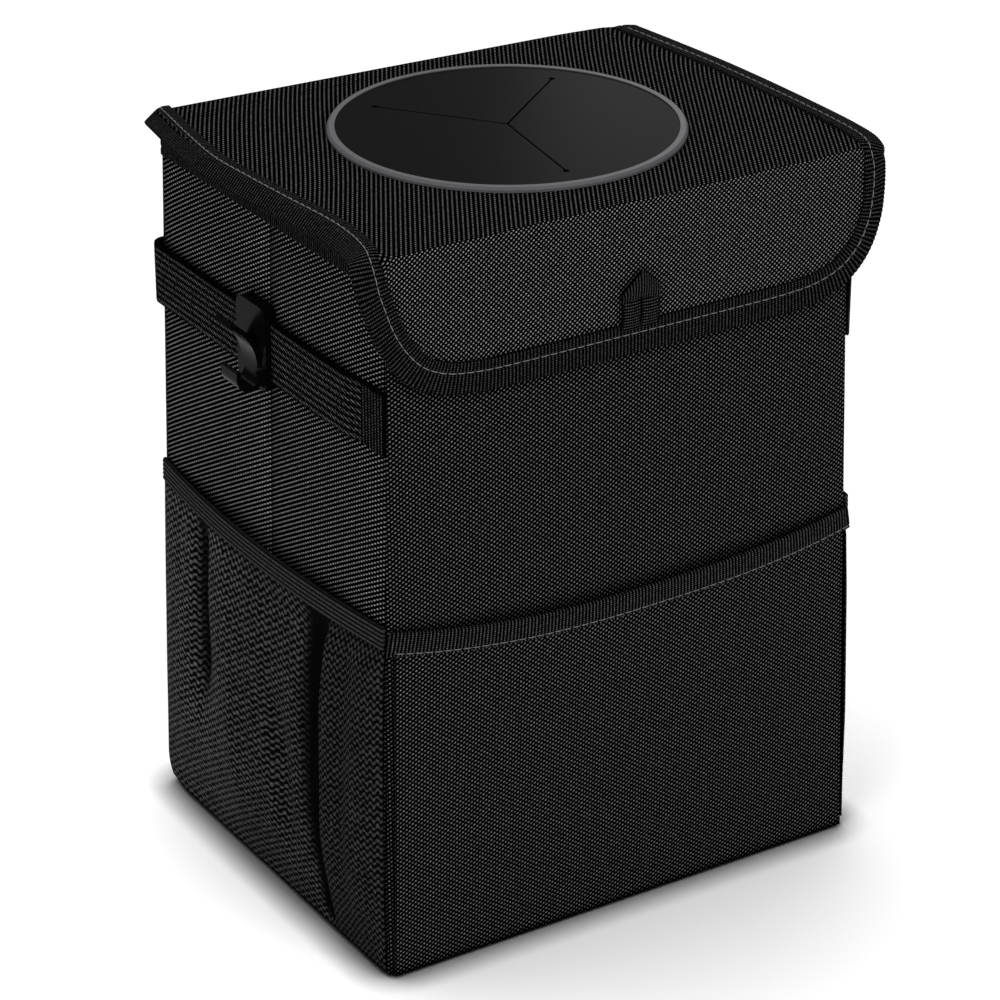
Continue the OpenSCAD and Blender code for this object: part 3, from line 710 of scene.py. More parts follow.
class BIN_OT_body(BinOperator, bpy.types.Operator):
    """Sews the outer cloth round the four walls and under the base"""

    bl_idname = "fabric_bin.body"
    bl_label = "Outer cloth"

    def make(self, look):
        levels = 72
        rings = []
        for k in range(levels + 1):
            z = PANEL_LOW + (PANEL_HIGH - PANEL_LOW) * (k / levels) ** 1.35
            rings.append((z, *body_ring(z, look)))
        columns = len(rings[0][1]) - 1

        def place(s, t):
            return rings[round(t * levels)][1][round(s * columns)]

        def measure(s, t):
            z, _, yarn = rings[round(t * levels)]
            return (yarn[round(s * columns)], z)

        body_oxford = finish("oxford_cloth_body", look)
        shell = cloth("outer_cloth", columns, levels, place, measure, body_oxford, CLOTH_THICK, closed=True)

        def painted_crease_light(x, y, z):
            """Painted light and shade along the side walls' fold: paler behind it, darker in its shade before
            it.
            """
            return 0.6 * exp(-y / 11.0) if y > 0 else -0.9 * exp(y / 3.2)

        def on_side(x, y, z):
            return abs(x) > half_w(z) - 3 and abs(y) < half_d(z) - 1.4

        mark_points(shell, "fold_light", painted_crease_light)
        # The side walls' cloth shows a longer yarn pitch than the front's; its copy is painted lighter and
        # takes the fold's painted light and shade
        refinish(shell, finish("oxford_cloth_sides", look), on_side)
        fit(shell, "bin", ("front_panel", "back_panel", "left_panel", "right_panel"))

        low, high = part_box("base_panel")
        span_x, span_y = high.x / MM, high.y / MM
        bend = 1.9

        def base_place(s, t):
            x, y = span_x * (2 * s - 1), span_y * (2 * t - 1)
            over_x, over_y = abs(x) - (span_x - bend), abs(y) - (span_y - bend)
            if over_x > 0 and over_y > 0:
                pull = max(over_x, over_y) / sqrt(over_x**2 + over_y**2)
                x = (abs(x) - over_x + over_x * pull) * (1 if x > 0 else -1)
                y = (abs(y) - over_y + over_y * pull) * (1 if y > 0 else -1)
            return flared((x, y, 0.75 - 0.1 * (1 + ripple(x / 30, y / 30, 4.0)) / 2))

        measure = evenly(2 * span_x, 2 * span_y)
        base = cloth("base_cloth", 60, 50, base_place, measure, body_oxford, CLOTH_THICK)
        fit(base, "bin", ("base_panel",))


class BIN_OT_piping(BinOperator, bpy.types.Operator):
    """Lays the piping in the corner seams and round the base"""

    bl_idname = "fabric_bin.piping"
    bl_label = "Piping"

    def make(self, look):
        angles = np.linspace(0, 2 * pi, 12, endpoint=False)

        def cord(name, path, radius):
            path = np.array(path, dtype=float)
            tangents = directions(path)
            steep = np.abs(tangents[:, 2:]) > 0.7
            aside = unit(np.cross(tangents, np.where(steep, [[0.3, 1.0, 0.0]], [[0.0, 0.0, 1.0]])))
            upward = np.cross(aside, tangents)
            run = run_along(path)
            size = radius * (1 + 0.025 * np.sin(run * 1.9))
            spokes = np.cos(angles)[None, :, None] * aside[:, None, :]
            spokes = spokes + np.sin(angles)[None, :, None] * upward[:, None, :]
            rings = path[:, None, :] + size[:, None, None] * spokes
            tape = finish("piping_tape", look)
            piece = swept(name + "_cord", rings, lambda i, j: (run[i], 0.6 * j), tape)
            fit(piece, "bin", (name,))

        inset_x, inset_y, radius, base_radius = 0.75, 1.62, 0.55, 0.9
        heights = np.linspace(2.3, WALL_H - 0.4, 140)
        for end, sy in (("front", -1), ("back", 1)):
            for side, sx in (("left", -1), ("right", 1)):
                path = [flared((sx * (half_w(z) - inset_x), sy * (half_d(z) - inset_y), z)) for z in heights]
                cord(f"{end}_{side}_piping", path, radius)
        # The cord lies inside the cloth, which turns in over it
        inset, bend = 1.75, 2.2
        x, y = BASE_W / 2 - inset - bend, BASE_D / 2 - inset - bend
        corners = []
        for quarter, (cx, cy) in enumerate(((1, 1), (-1, 1), (-1, -1), (1, -1))):
            for k in range(9):
                angle = pi / 2 * (quarter + k / 8)
                round_x, round_y = bend * cos(angle), bend * sin(angle)
                corners.append((cx * x + round_x, cy * y + round_y, 1.0))
        loop = []
        for k, point in enumerate(corners):
            step = np.subtract(corners[(k + 1) % len(corners)], point)
            count = max(1, int(np.linalg.norm(step) / 3))
            loop += [flared(point + step * i / count) for i in range(count)]
        cord("base_piping", loop + loop[:1], base_radius)


def folded_tape(name, path, across_in, across_out, width_in, width_out, material, rib, thick, over):
    """Tape folded over an edge. path is its seam line, with the cloth's face up when the edge lies
    to its right; across_in and across_out are the directions to the edge on the two sides of the
    seam, and over is the thickness that the tape folds over."""
    run = run_along(path)
    # Cross-section: distance outward from the seam, height over the cloth, share of the ribs
    section = [(-width_in, 0.05, 0.3), (-width_in + 0.25, thick, 0.8), (-width_in * 0.6, thick + 0.05, 1)]
    section += [(-0.7, thick, 1), (0.0, thick * 0.62, 0.2), (0.7, thick, 1)]
    section += [(width_out * f, thick + 0.12, 1) for f in (0.25, 0.45, 0.65, 0.82)]
    section += [(width_out - 0.35, thick - 0.05, 1), (width_out, -over / 2, 0.6)]
    under = -over - thick
    section += [(width_out - 0.35, under + 0.1, 0), (width_out * 0.6, under, 0), (0.0, under, 0)]
    section += [(-width_in + 0.25, under, 0), (-width_in, -over - 0.1, 0)]
    rings = np.zeros((len(path), len(section), 3))
    rib_high = 0.13
    ribs = np.cos(2 * pi * run / rib) * rib_high
    tangents = directions(path)
    normal_in, normal_out = unit(np.cross(across_in, tangents)), unit(np.cross(across_out, tangents))
    for j, (a, b, share) in enumerate(section):
        direction, normal = (across_in, normal_in) if a < 0 else (across_out, normal_out)
        rings[:, j, :] = path + direction * a + normal * (b + ribs * share)[:, None]
    distance = run_along([row[:2] for row in section])
    return swept(name, rings, lambda i, j: (run[i], distance[j]), material)


class BIN_OT_rim(BinOperator, bpy.types.Operator):
    """Folds the tape over the mouth of the body"""

    bl_idname = "fabric_bin.rim"
    bl_label = "Rim tape"

    def make(self, look):
        rings, run = [], []
        # Cross-section: how far out of the wall, and height
        section = [(0.25, 274.0), (0.75, 274.5), (0.8, 276.5), (0.6, 277.6), (0.8, 278.6), (0.8, 284.5)]
        section += [(0.6, 286.2), (0.1, 286.65), (-2.9, 286.65), (-3.5, 286.2), (-3.65, 284.5)]
        section += [(-3.65, 274.5), (-3.2, 274.0), (-3.05, 280.0), (-2.95, 285.6), (0.05, 285.75)]
        section += [(0.05, 280.0)]
        total, per_side, rib_high = 0.0, 180, 0.06
        for side in SIDES:
            length = half_len(side, WALL_H)
            for i in range(per_side):
                u = length * (2 * i / per_side - 1)
                # Round the corner a little
                near = 0.8 * smooth(abs(u) / length, 0.975, 1.0)
                lift = rib_high * cos(2 * pi * (total + u) / look.rib_mm)
                ring = []
                for depth, z in section:
                    out = depth - near
                    along = u * (half_len(side, z) + out) / length
                    ring.append(flared(on_wall(side, along, z, out + (lift if depth > 0.3 else 0))))
                rings.append(ring)
                run.append(total + u)
            total += 2 * length
        rings.append(rings[0])
        run.append(run[-1] + 2)
        distance = run_along(section)
        finished = finish("grosgrain_tape", look)
        tape = swept("rim_tape", np.array(rings), lambda i, j: (run[i], distance[j]), finished, ends=False)
        with reshaping(tape.data) as work:
            bmesh.ops.remove_doubles(work, verts=work.verts, dist=1e-6)
            bmesh.ops.recalc_face_normals(work, faces=work.faces)
        fit(tape, "bin", ("rim_binding",))


# Front pocket


# Half the pocket's width near its top edge, between the seams and between the corners' cloth
POCKET_WIDE = half_w(140)
POCKET_SPAN = POCKET_WIDE - CORNER_INSET


def pocket_top(u):
    """Height of the pocket's top edge: it hangs slack between the corners."""
    share = u / POCKET_WIDE
    return 136.6 + 7.2 * abs(share) ** 2.2 + (1.6 if share < 0 else -1.2) * abs(share) ** 3


def pocket_out(u, t, look):
    """How far the pocket stands off the wall, t from its bottom seam to its top edge."""
    across = max(0.0, 1 - abs(u / POCKET_SPAN) ** 3.2)
    slack = look.pocket_slack_mm * across * (0.25 * smooth(t, 0, 0.25) + 0.75 * smooth(t, 0.1, 1.0) ** 1.5)
    folds = 0.25 * ripple(u / 21.0, t * 5.0, 6.0) * across * smooth(t, 0, 0.2)
    return 1.75 + slack + folds


class BIN_OT_front_pocket(BinOperator, bpy.types.Operator):
    """Hangs the slack front pocket and folds the tape over its top edge"""

    bl_idname = "fabric_bin.front_pocket"
    bl_label = "Front pocket"

    def make(self, look):
        low = PANEL_LOW + 0.2

        def spot(u, t):
            z = low + (pocket_top(u) - low) * t
            return on_wall("front", u * (half_w(z) - CORNER_INSET) / POCKET_SPAN, z, pocket_out(u, t, look))

        def place(s, t):
            return spot(POCKET_SPAN * (2 * s - 1), t)

        def measure(s, t):
            u = POCKET_SPAN * (2 * s - 1)
            return (u + 300, low + (pocket_top(u) - low) * t)

        oxford = finish("oxford_cloth_body", look)
        sheet = cloth("front_pocket_cloth", 90, 60, place, measure, oxford, CLOTH_THICK)
        fit(sheet, "bin", ("front_pocket",))

        # The tape runs on a little past the cloth at either end
        edge = []
        for u in np.linspace(POCKET_SPAN + 1.8, -POCKET_SPAN - 2.2, 900):
            inside = max(-POCKET_SPAN, min(POCKET_SPAN, u))
            x, y, z = spot(inside, 1.0)
            wrap = abs(u - inside)
            edge.append((x + (u - inside) * 0.85, y + 0.08 * wrap**2, z + 0.15 * wrap))
        edge = np.array(edge)
        facing = np.tile([[0.0, -1.0, 0.0]], (len(edge), 1))
        across = unit(np.cross(directions(edge), facing))
        # The tape's two widths, below the seam and above it, which lies 8 mm under the edge
        below, above = 1.3, 8.5
        seam = edge - across * 8.0
        ribbed, rib = finish("grosgrain_tape_pocket", look), look.rib_mm
        tape = folded_tape(
            "front_pocket_tape", seam, across, across, below, above, ribbed, rib, thick=0.55, over=0.75
        )
        fit(tape, "bin", ("front_pocket_binding",))
        row = stitches("front_pocket_stitches", seam + 0.45 * facing, facing, look)
        fit(row, "bin")


# Mesh pockets


MESH_LOW, MESH_TOP = 2.2, 137.5
ELASTIC_WIDTH = 9.0
# How far the elastic bows off the middle of the wall
BOW = 6.0
# The gathers, counted from the middle of the wall towards the front
SHALLOW_GATHER, DEEP_GATHER = -46.0, 49.0


def gathers(u, t):
    """How far the two gathers pull the mesh in, 0 to 1; t runs from its bottom seam to its top."""
    # The deep gather closes to a crease at the seam; the shallow one fades out half way down
    deep_at = DEEP_GATHER + 1.5 * (1 - t) - 1.5 * sin(pi * t)
    deep_width, power = (3.5, 2) if u > deep_at else (15.0, 1.3)
    deep_width *= 0.5 + 0.5 * smooth(t, 0.0, 0.5)
    deep = 0.99 * exp(-((abs(u - deep_at) / deep_width) ** power)) * smooth(t, -0.02, 0.06)
    shallow_at = SHALLOW_GATHER + 1.5 * sin(4 * t)
    shallow_width = (7.0 if u > shallow_at else 5.0) + 3 * (1 - t)
    shallow = 0.85 * exp(-((abs(u - shallow_at) / shallow_width) ** 1.5)) * smooth(t, 0.25, 0.6)
    return deep, shallow


def mesh_out(u, z, look):
    """How far the gathered mesh stands off the side wall; u runs towards the front."""
    span = half_d(z) - 0.8
    t = (z - MESH_LOW) / (MESH_TOP - MESH_LOW)
    end = max(0.0, 1 - abs(u / span) ** 3) ** 0.8 if u < 0 else max(0.0, 1 - (u / span) ** 6) ** 0.5
    rise = smooth(t, -0.05, 0.4) ** 0.8 * (1 - 0.3 * smooth(t, 0.72, 1.0))
    full = look.mesh_fullness_mm * rise * end
    deep, shallow = gathers(u, t)
    # A soft valley runs down the middle lobe
    middle = 0.42 * exp(-(((u - 8 - 20 * (1 - t)) / 7.0) ** 2))
    middle *= smooth(0.75 - t, 0.0, 0.3) * smooth(t, 0.05, 0.3)
    front_fold = 0.25 * exp(-(((u - 66) / 5.0) ** 2))
    soft = 0.15 * ripple(u / 12.0, z / 70.0, 2.5) + 0.035 * ripple(u / 4.0, z / 30.0, 5.5)
    lobes = max(0.02, 1 - deep - shallow - middle - front_fold + soft * end)
    near_band = smooth(t, 0.93, 1.0)
    return 1.0 + (1 - near_band) * full * lobes + near_band * BOW * (1 - (u / span) ** 2)


class BIN_OT_mesh_pockets(BinOperator, bpy.types.Operator):
    """Gathers the mesh pockets on the side walls under their elastic bands"""

    bl_idname = "fabric_bin.mesh_pockets"
    bl_label = "Mesh pockets"

    def make(self, look):
        rows, columns = 100, 300
        for side, front in (("left", 1), ("right", -1)):

            def place(s, t, side=side, front=front):
                z = MESH_LOW + (MESH_TOP + 2.0 - MESH_LOW) * t
                u = (half_d(z) - 0.9) * (2 * s - 1)
                out = mesh_out(u * front, z, look)
                # The pocket on the right lies flatter
                return flared(on_wall(side, u, z, out if front == 1 else 1.0 + 0.75 * (out - 1.0)))

            # Yarn coordinates follow the cloth, so the holes crowd together in the gathers
            lengths = []
            for k in range(rows + 1):
                lengths.append(run_along([place(i / columns, k / rows) for i in range(columns + 1)]))
            widest = max(row[-1] for row in lengths)

            def measure(s, t, lengths=lengths, widest=widest, front=front):
                row = lengths[round(t * rows)]
                share = row[round(s * columns)] / row[-1]
                # In front of the deep gather the mesh is drawn together
                ahead = max(0.0, (share if front == 1 else 1 - share) - 0.77)
                return ((share + 0.6 * ahead * front) * widest, 150 * t)

            mesh_finish, thick = finish("knitted_mesh", look), 0.5
            pocket = cloth(side + "_mesh_cloth", columns, rows, place, measure, mesh_finish, thick)

            def painted_gather_shade(x, y, z):
                """Painted shade: dark in the gathers and towards the front."""
                deep, shallow = gathers(-y, (z - MESH_LOW) / (MESH_TOP - MESH_LOW))
                shade_ahead = 0.3 * smooth(-y, -35, 0) + 0.25 * smooth(-y, DEEP_GATHER - 4, DEEP_GATHER + 4)
                return max(smooth(deep, 0.2, 0.62), 0.9 * smooth(shallow, 0.25, 0.7), shade_ahead)

            mark_points(pocket, "painted_fold_shade", painted_gather_shade)
            fit(pocket, "bin", (side + "_mesh_pocket",))

            # Band with ribs along it, bowed off the wall
            profile, ribs = [], 5
            for share in np.linspace(0, 1, 21):
                rib = 0.28 * abs(sin(pi * ribs * share))
                profile.append((1.75 + rib, MESH_TOP + 0.2 + ELASTIC_WIDTH * share))
            top = MESH_TOP + ELASTIC_WIDTH + 0.6
            profile += [(1.6, top), (0.5, top), (0.1, MESH_TOP + 5), (0.1, MESH_TOP + 0.2), (1.4, MESH_TOP)]
            rings = []
            for share in np.linspace(-1, 1, 121):
                bow = 0.15 + BOW * (1 - share**2)
                rings.append([on_wall(side, (half_d(z) - 0.6) * share, z, out + bow) for out, z in profile])

            def band_yarn(i, j, profile=profile):
                return (170 * i / 120, profile[j][1])

            band = swept(side + "_elastic", np.array(rings), band_yarn, finish("elastic_band", look))
            fit(band, "bin", (side + "_pocket_elastic",))


# Strap


class BIN_OT_strap(BinOperator, bpy.types.Operator):
    """Runs the webbing strap round the sides and the back"""

    bl_idname = "fabric_bin.strap"
    bl_label = "Webbing strap"

    def make(self, look):
        x_in = half_w(STRAP_LOW) + 2.0
        x_sewn = half_w(STRAP_LOW) + 0.15
        y_front = half_d(STRAP_LOW) - 0.6
        # Clear of the back cloth's own bulge and spread
        y_in = half_d(STRAP_LOW) + 3.3
        corner = 4.0
        half = [(x_sewn, -y_front), (x_sewn, -y_front + 14), (x_sewn + 0.4, -y_front + 17)]
        half += [(x_in, -y_front + 24), (x_in, 0), (x_in, y_in - corner)]
        half += [(x_in - corner + corner * cos(a), y_in - corner + corner * sin(a)) for a in (0.4, 0.8, 1.2)]
        half += [(x_in - corner, y_in), (60, y_in)]
        whole = half + [(0, y_in)] + [(-x, y) for x, y in reversed(half)]
        path, length = curve_through([(x, y, 0) for x, y in whole], 700)
        tangents = directions(path)
        outward = np.stack([tangents[:, 1], -tangents[:, 0], 0 * tangents[:, 0]], 1)
        run = np.linspace(0, length, len(path))
        thick = 1.45
        # Cross-section: height above the lower edge, and how far out of the inner face
        width = STRAP_HIGH - STRAP_LOW
        section = [(0.0, 0.5), (0.25, 0.15), (1.0, 0.0), (width / 2, 0.0), (width - 1.0, 0.0)]
        section += [(width - 0.25, 0.15), (width, 0.5), (width, 0.95), (width - 0.25, thick - 0.15)]
        section += [(width - 1.0, thick)]
        section += [(width * f, thick) for f in (0.85, 0.7, 0.5, 0.3, 0.15)]
        section += [(1.0, thick), (0.25, thick - 0.15), (0.0, 0.95)]
        rings = np.zeros((len(path), len(section), 3))
        for j, (up, out) in enumerate(section):
            rings[:, j, :2] = path[:, :2] + outward[:, :2] * out
            rings[:, j, 2] = STRAP_LOW + up + 0.05 * np.sin(run / 9.0)
        across = [up if k < 7 else 60 - up for k, (up, _) in enumerate(section)]
        webbing = finish("polypropylene_webbing", look)
        strap = swept("side_strap", rings, lambda i, j: (run[i], across[j]), webbing)
        # Its two ends are folded and sewn down in front
        ends = finish("polypropylene_webbing_end", look)
        refinish(strap, ends, lambda x, y, z: y < -y_front + 15 and abs(x) > 90)
        fit(strap, "bin", ("strap",))


# Lid and flap


# Radius of the bend from lid to flap: under the tape on the left and right, and between them
BEND_LEFT, BEND_RIGHT, BEND = 12.0, 9.0, 1.2
# The seam line of the lid's tape lies this high over the cloth
SEAM_RISE = 0.2
# Lower edge of the flap's cloth
FLAP_LOW = 239.3
# Radius of the round hole in the lid's cloth, which the ring clamps, and in the lining under it
CLOTH_HOLE, LINING_HOLE = 64.0, 64.5


def on_lid(x, y, droop):
    """Point of the seam line of the lid's tape: x, y, z, turn from lid (0) to flap (1) and the droop
    of the tape in degrees."""
    return (x, y, LID_TOP + SEAM_RISE, 0, droop)


def on_bend(x, turn, bend, droop):
    """The same on a bend of that radius, turned from the lid (0) to the flap (1)."""
    angle = turn * pi / 2
    y = FLAP_FACE_Y + bend * (1 - sin(angle))
    return (x, y, LID_TOP + SEAM_RISE - (bend + SEAM_RISE) * (1 - cos(angle)), turn, droop)


def on_flap(x, z, droop=0):
    return (x, FLAP_FACE_Y, z, 1, droop)


def seam(kind, *spots):
    """Points of the seam line of one of the three kinds above."""
    return [kind(*spot) for spot in spots]


# From the back of the lid round the flap, and on to the back of the lid
SEAM_LEFT = [
    *seam(on_lid, (-97.8, 89.5, 40), (-103.0, 55.0, 42), (-105.6, 31.0, 45), (-104.8, 8.0, 48)),
    *seam(on_lid, (-103.0, -20.0, 46), (-101.0, -46.0, 42), (-101.7, -63.0, 38)),
    *seam(on_bend, (-104.0, 0.0, BEND_LEFT, 32), (-105.2, 0.25, BEND_LEFT, 24), (-106.1, 0.5, BEND_LEFT, 14)),
    *seam(on_bend, (-106.3, 0.75, BEND_LEFT, 6), (-105.7, 1.0, BEND_LEFT, 2)),
    *seam(on_flap, (-103.8, 273.0, -2), (-99.8, 262.4, -4), (-94.5, 253.6), (-87.6, 246.6)),
    *seam(on_flap, (-78.0, 242.2), (-64.0, 240.1), (-45.0, 239.6)),
]
SEAM_RIGHT = [
    *seam(on_flap, (0.0, 239.6), (45.0, 239.6), (70.0, 239.9), (84.0, 241.4), (94.6, 245.4, 4)),
    *seam(on_flap, (102.0, 252.0, 10), (106.6, 261.5, 16), (108.2, 271.0, 20)),
    *seam(on_bend, (108.2, 1.0, BEND_RIGHT, 22), (108.2, 0.6, BEND_RIGHT, 22), (109.2, 0.25, BEND_RIGHT, 20)),
    *seam(on_lid, (111.0, -70.0, 16), (112.0, -36.0, 14), (111.0, 15.0, 13)),
    *seam(on_lid, (108.0, 52.0, 12), (105.6, 76.5, 12)),
]


# Back edge of the lid's cloth, x against y
BACK_EDGE_X, BACK_EDGE_Y = (-100.0, 79.0, 98.0, 108.0), (88.4, 82.2, 80.4, 76.5)


def cloth_limits(along):
    """Left and right edge of the cloth, along it from the lid's front edge: less than 0 on the lid."""
    found = []
    for rows, bend, over in ((SEAM_LEFT, BEND_LEFT, -1.0), (SEAM_RIGHT, BEND_RIGHT, 1.0)):
        spots = []
        for x, y, z, turn, _ in rows:
            on_flat = FLAP_FACE_Y - y if turn == 0 else LID_TOP - z
            spots.append((on_flat if turn in (0, 1) else bend * (2 * turn - 1), x))
        spots.sort()
        found.append(float(np.interp(along, *zip(*spots))) + over)
    return found


def bent(along, bend):
    """Depth and height of the cloth there, round a bend of that radius."""
    if along <= -bend:
        return FLAP_FACE_Y - along, LID_TOP
    if along >= bend:
        return FLAP_FACE_Y, LID_TOP - along
    angle = (along / bend + 1) * pi / 4
    return FLAP_FACE_Y + bend * (1 - sin(angle)), LID_TOP - bend * (1 - cos(angle))


class BIN_OT_lid(BinOperator, bpy.types.Operator):
    """Lays the lid's cloth, which folds down into the flap, and binds its edge with tape"""

    bl_idname = "fabric_bin.lid"
    bl_label = "Lid and flap"

    def make(self, look):
        # Rows of the cloth from its back edge to the flap's lower edge, closer together at the hinge
        # and at the bend
        back, wide = 80.3, 14.0
        start = FLAP_FACE_Y - back
        rows = [*np.linspace(start, start + 9, 9)[:-1], *np.linspace(start + 9, -wide, 47)[:-1]]
        rows += [wide * share * abs(share) ** 0.8 for share in np.linspace(-1, 1, 45)]
        rows += list(np.linspace(wide, LID_TOP - FLAP_LOW, 34)[1:])
        limits = [cloth_limits(along) for along in rows]
        # The lid's cloth is stretched over its board, so its yarns lie further apart
        yarn = [along * (0.56 if along < 0 else 1.0) for along in rows]
        total = len(rows) - 1

        def place(s, t):
            k = total - round(t * total)
            along, (left, right) = rows[k], limits[k]
            x = left + (right - left) * s
            # Wide under the tape at either end, tight between
            bend = BEND + (BEND_LEFT - BEND) * (1 - smooth(x - left, 3.0, 7.5))
            bend += (BEND_RIGHT - BEND) * (1 - smooth(right - x, 3.0, 7.5))
            y, z = bent(along, bend)
            if along < 0:
                # The back edge isn't quite square to the front one
                y += (float(np.interp(x, BACK_EDGE_X, BACK_EDGE_Y)) - back) * smooth(y, -20, back)
                z += 0.17 * ripple(x / 40, y / 36, 3.0) * smooth(back - abs(y), 0, 20)
            else:
                y -= 0.5 * (1 - z / LID_TOP) + 0.25 * ripple(x / 26, z / 15, 8.0) * smooth(LID_TOP - z, 0, 12)
            return (x, y, z)

        def measure(s, t):
            k = total - round(t * total)
            return (place(s, t)[0] * (1.06 if rows[k] < 0 else 1.0) + 200, 600 - yarn[k])

        # Painted shade: the lid's copy of the cloth is darker than the body's
        sheet = cloth("lid_cloth", 110, total, place, measure, finish("oxford_cloth_lid", look))
        cut_round(sheet, CLOTH_HOLE)
        # Behind the hinge the lid's edge is cut off as a piece of its own
        back_sheet = split_behind(sheet, "lid_back_cloth")
        thicken(sheet, LID_CLOTH_THICK)
        thicken(back_sheet, LID_CLOTH_THICK)
        # Painted light: the flap's copy of the cloth is lighter than the body's
        flap_oxford = finish("oxford_cloth_flap", look)
        refinish(sheet, flap_oxford, lambda x, y, z: LID_TOP - z > y - FLAP_FACE_Y)
        path, _ = curve_through(SEAM_LEFT + SEAM_RIGHT, 2600)
        line, turn, droop = path[:, :3], np.clip(path[:, 3], 0, 1) * pi / 2, np.radians(path[:, 4])
        line = line - 0.25 * turn[:, None] * [[0, 1, 0]]
        tangents = directions(line)
        ups = np.stack([0 * turn, -np.sin(turn), np.cos(turn)], 1)
        ups = unit(ups - tangents * np.sum(ups * tangents, axis=1)[:, None])
        across_in = unit(np.cross(tangents, ups))
        across_out = across_in * np.cos(droop)[:, None] - ups * np.sin(droop)[:, None]
        # The tape's two widths, inside and outside the seam
        inner, outer = 4.1, 8.3
        finished = finish("grosgrain_tape", look)
        tape = folded_tape(
            "lid_tape", line, across_in, across_out, inner, outer, finished, look.rib_mm, thick=0.6, over=1.3
        )
        row = stitches("lid_stitches", line + ups * 0.5, ups, look)
        film, place = finish("lining_film", look), self.lining_place
        lining = cloth("flap_lining_cloth", 40, 24, place, evenly(210, 46), film, 0.35)
        back_parts = [back_sheet, split_behind(tape, "lid_back_tape"), split_behind(row, "lid_back_stitches")]
        for part, slot_name in zip(back_parts, ("oxford_fabric", "binding_tape", "binding_tape")):
            over_hinge(part)
        for piece, slot_name, nodes in (
            (sheet, "oxford_fabric", ("lid_panel", "flap_panel")),
            (tape, "binding_tape", ("left_lid_binding", "right_lid_binding", "flap_binding")),
            (row, "binding_tape", ()),
        ):
            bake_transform(piece)
            if nodes:
                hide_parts(*nodes)
        fit(lining, "flap", ("flap_lining",))

    def lining_place(self, s, t):
        low, high = 241.5, LID_TOP - 3.5
        z = low + (high - low) * t
        left, right = cloth_limits(LID_TOP - z)
        # It narrows towards the bend, which is round at its ends
        inset = 2 + 9 * smooth(z, LID_TOP - 15, LID_TOP - 6)
        return (left + inset + (right - left - 2 * inset) * s, CREASE_Y + 0.55, z)


class BIN_OT_hinge(BinOperator, bpy.types.Operator):
    """Sews the cloth hinge from the back wall to the lid"""

    bl_idname = "fabric_bin.hinge"
    bl_label = "Back hinge"

    def make(self, look):
        half = RIM_W / 2 - 3
        # It ends under the lid's cloth
        under = LID_TOP - 0.85
        profile = [(88.6, 272.6), (88.2, 276.0), (87.3, 281.0), (86.2, 286.0), (84.9, 288.6)]
        profile += [(83.0, under - 0.1), (81.8, under), (80.7, under)]
        fine, length = curve_through(profile, 25)

        def place(s, t):
            y, z = fine[round(t * 24)]
            bow = 0.3 * ripple(s * 9, t * 2, 1.5)
            return (-half * (2 * s - 1), y + bow * (1 - t), z)

        oxford = finish("oxford_cloth_body", look)
        strip = cloth("back_hinge_cloth", 90, 24, place, evenly(2 * half, length), oxford, 0.5)
        over_hinge(strip)
        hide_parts("hinge_strip")


class BIN_OT_closure(BinOperator, bpy.types.Operator):
    """Makes the pull tab and finishes the patches of hook and loop tape"""

    bl_idname = "fabric_bin.closure"
    bl_label = "Pull tab and patches"

    def make(self, look):
        # A ribbon folded to a point: two legs and the mitre over them
        low_z, leg_top_z, top_z, centre = 241.7, 256.5, 264.4, 3.4
        face_y = FLAP_FACE_Y - 0.5
        ribbon = finish("tab_ribbon", look)
        parts = []
        for sign in (-1, 1):

            def leg(s, t, sign=sign):
                inner, outer = 0.45, 7.6
                bulge = 0.56 * sin(pi * s) + 0.96 * sin(pi * t)
                x = centre + sign * (inner + (outer - inner) * s)
                return (x, face_y - 0.4 - bulge, low_z + (leg_top_z - low_z) * t)

            piece = cloth("tab_leg", 12, 16, leg, lambda s, t: (t * 14, s * 7), ribbon, 0.6, offset=0.0)
            parts.append(piece)

        def mitre(s, t):
            x = 8.1 * (2 * s - 1)
            peak = top_z - abs(x - 0.3) * 0.98
            low_edge = 252.6 + 2.2 * (1 - abs(2 * s - 1)) - 1.0 * s
            z = low_edge + (max(peak, low_edge + 0.6) - low_edge) * t
            return (centre + x, face_y - 2.0 - 0.5 * sin(pi * t) + 0.9 * abs(2 * s - 1), z)

        top = cloth("tab_mitre", 20, 12, mitre, evenly(16, 12), ribbon, 0.7, offset=0.0)
        tab = joined("pull_tab_ribbon", parts + [top])
        fit(tab, "flap", ("pull_tab",))
        for node in ("loop_patch", "hook_patch"):
            dress(node, finish("hook_and_loop_tape", look))


def dress(node, material):
    """Gives a CAD node, whose shape is right, its finish."""
    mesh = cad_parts[node].data
    mesh.materials.clear()
    mesh.materials.append(material)


class BIN_OT_membrane(BinOperator, bpy.types.Operator):
    """Finishes the slit rubber membrane and its ring"""

    bl_idname = "fabric_bin.membrane"
    bl_label = "Membrane and ring"

    def make(self, look):
        dress("membrane", finish("silicone_rubber", look))
        for node in ("membrane_ring", "clamp_ring"):
            dress(node, finish("abs_ring", look))


class BIN_OT_hooks(BinOperator, bpy.types.Operator):
    """Finishes the two moulded hooks on the strap"""

    bl_idname = "fabric_bin.hooks"
    bl_label = "Hooks"

    def make(self, look):
        for node in ("left_hook", "right_hook"):
            dress(node, finish("acetal", look))


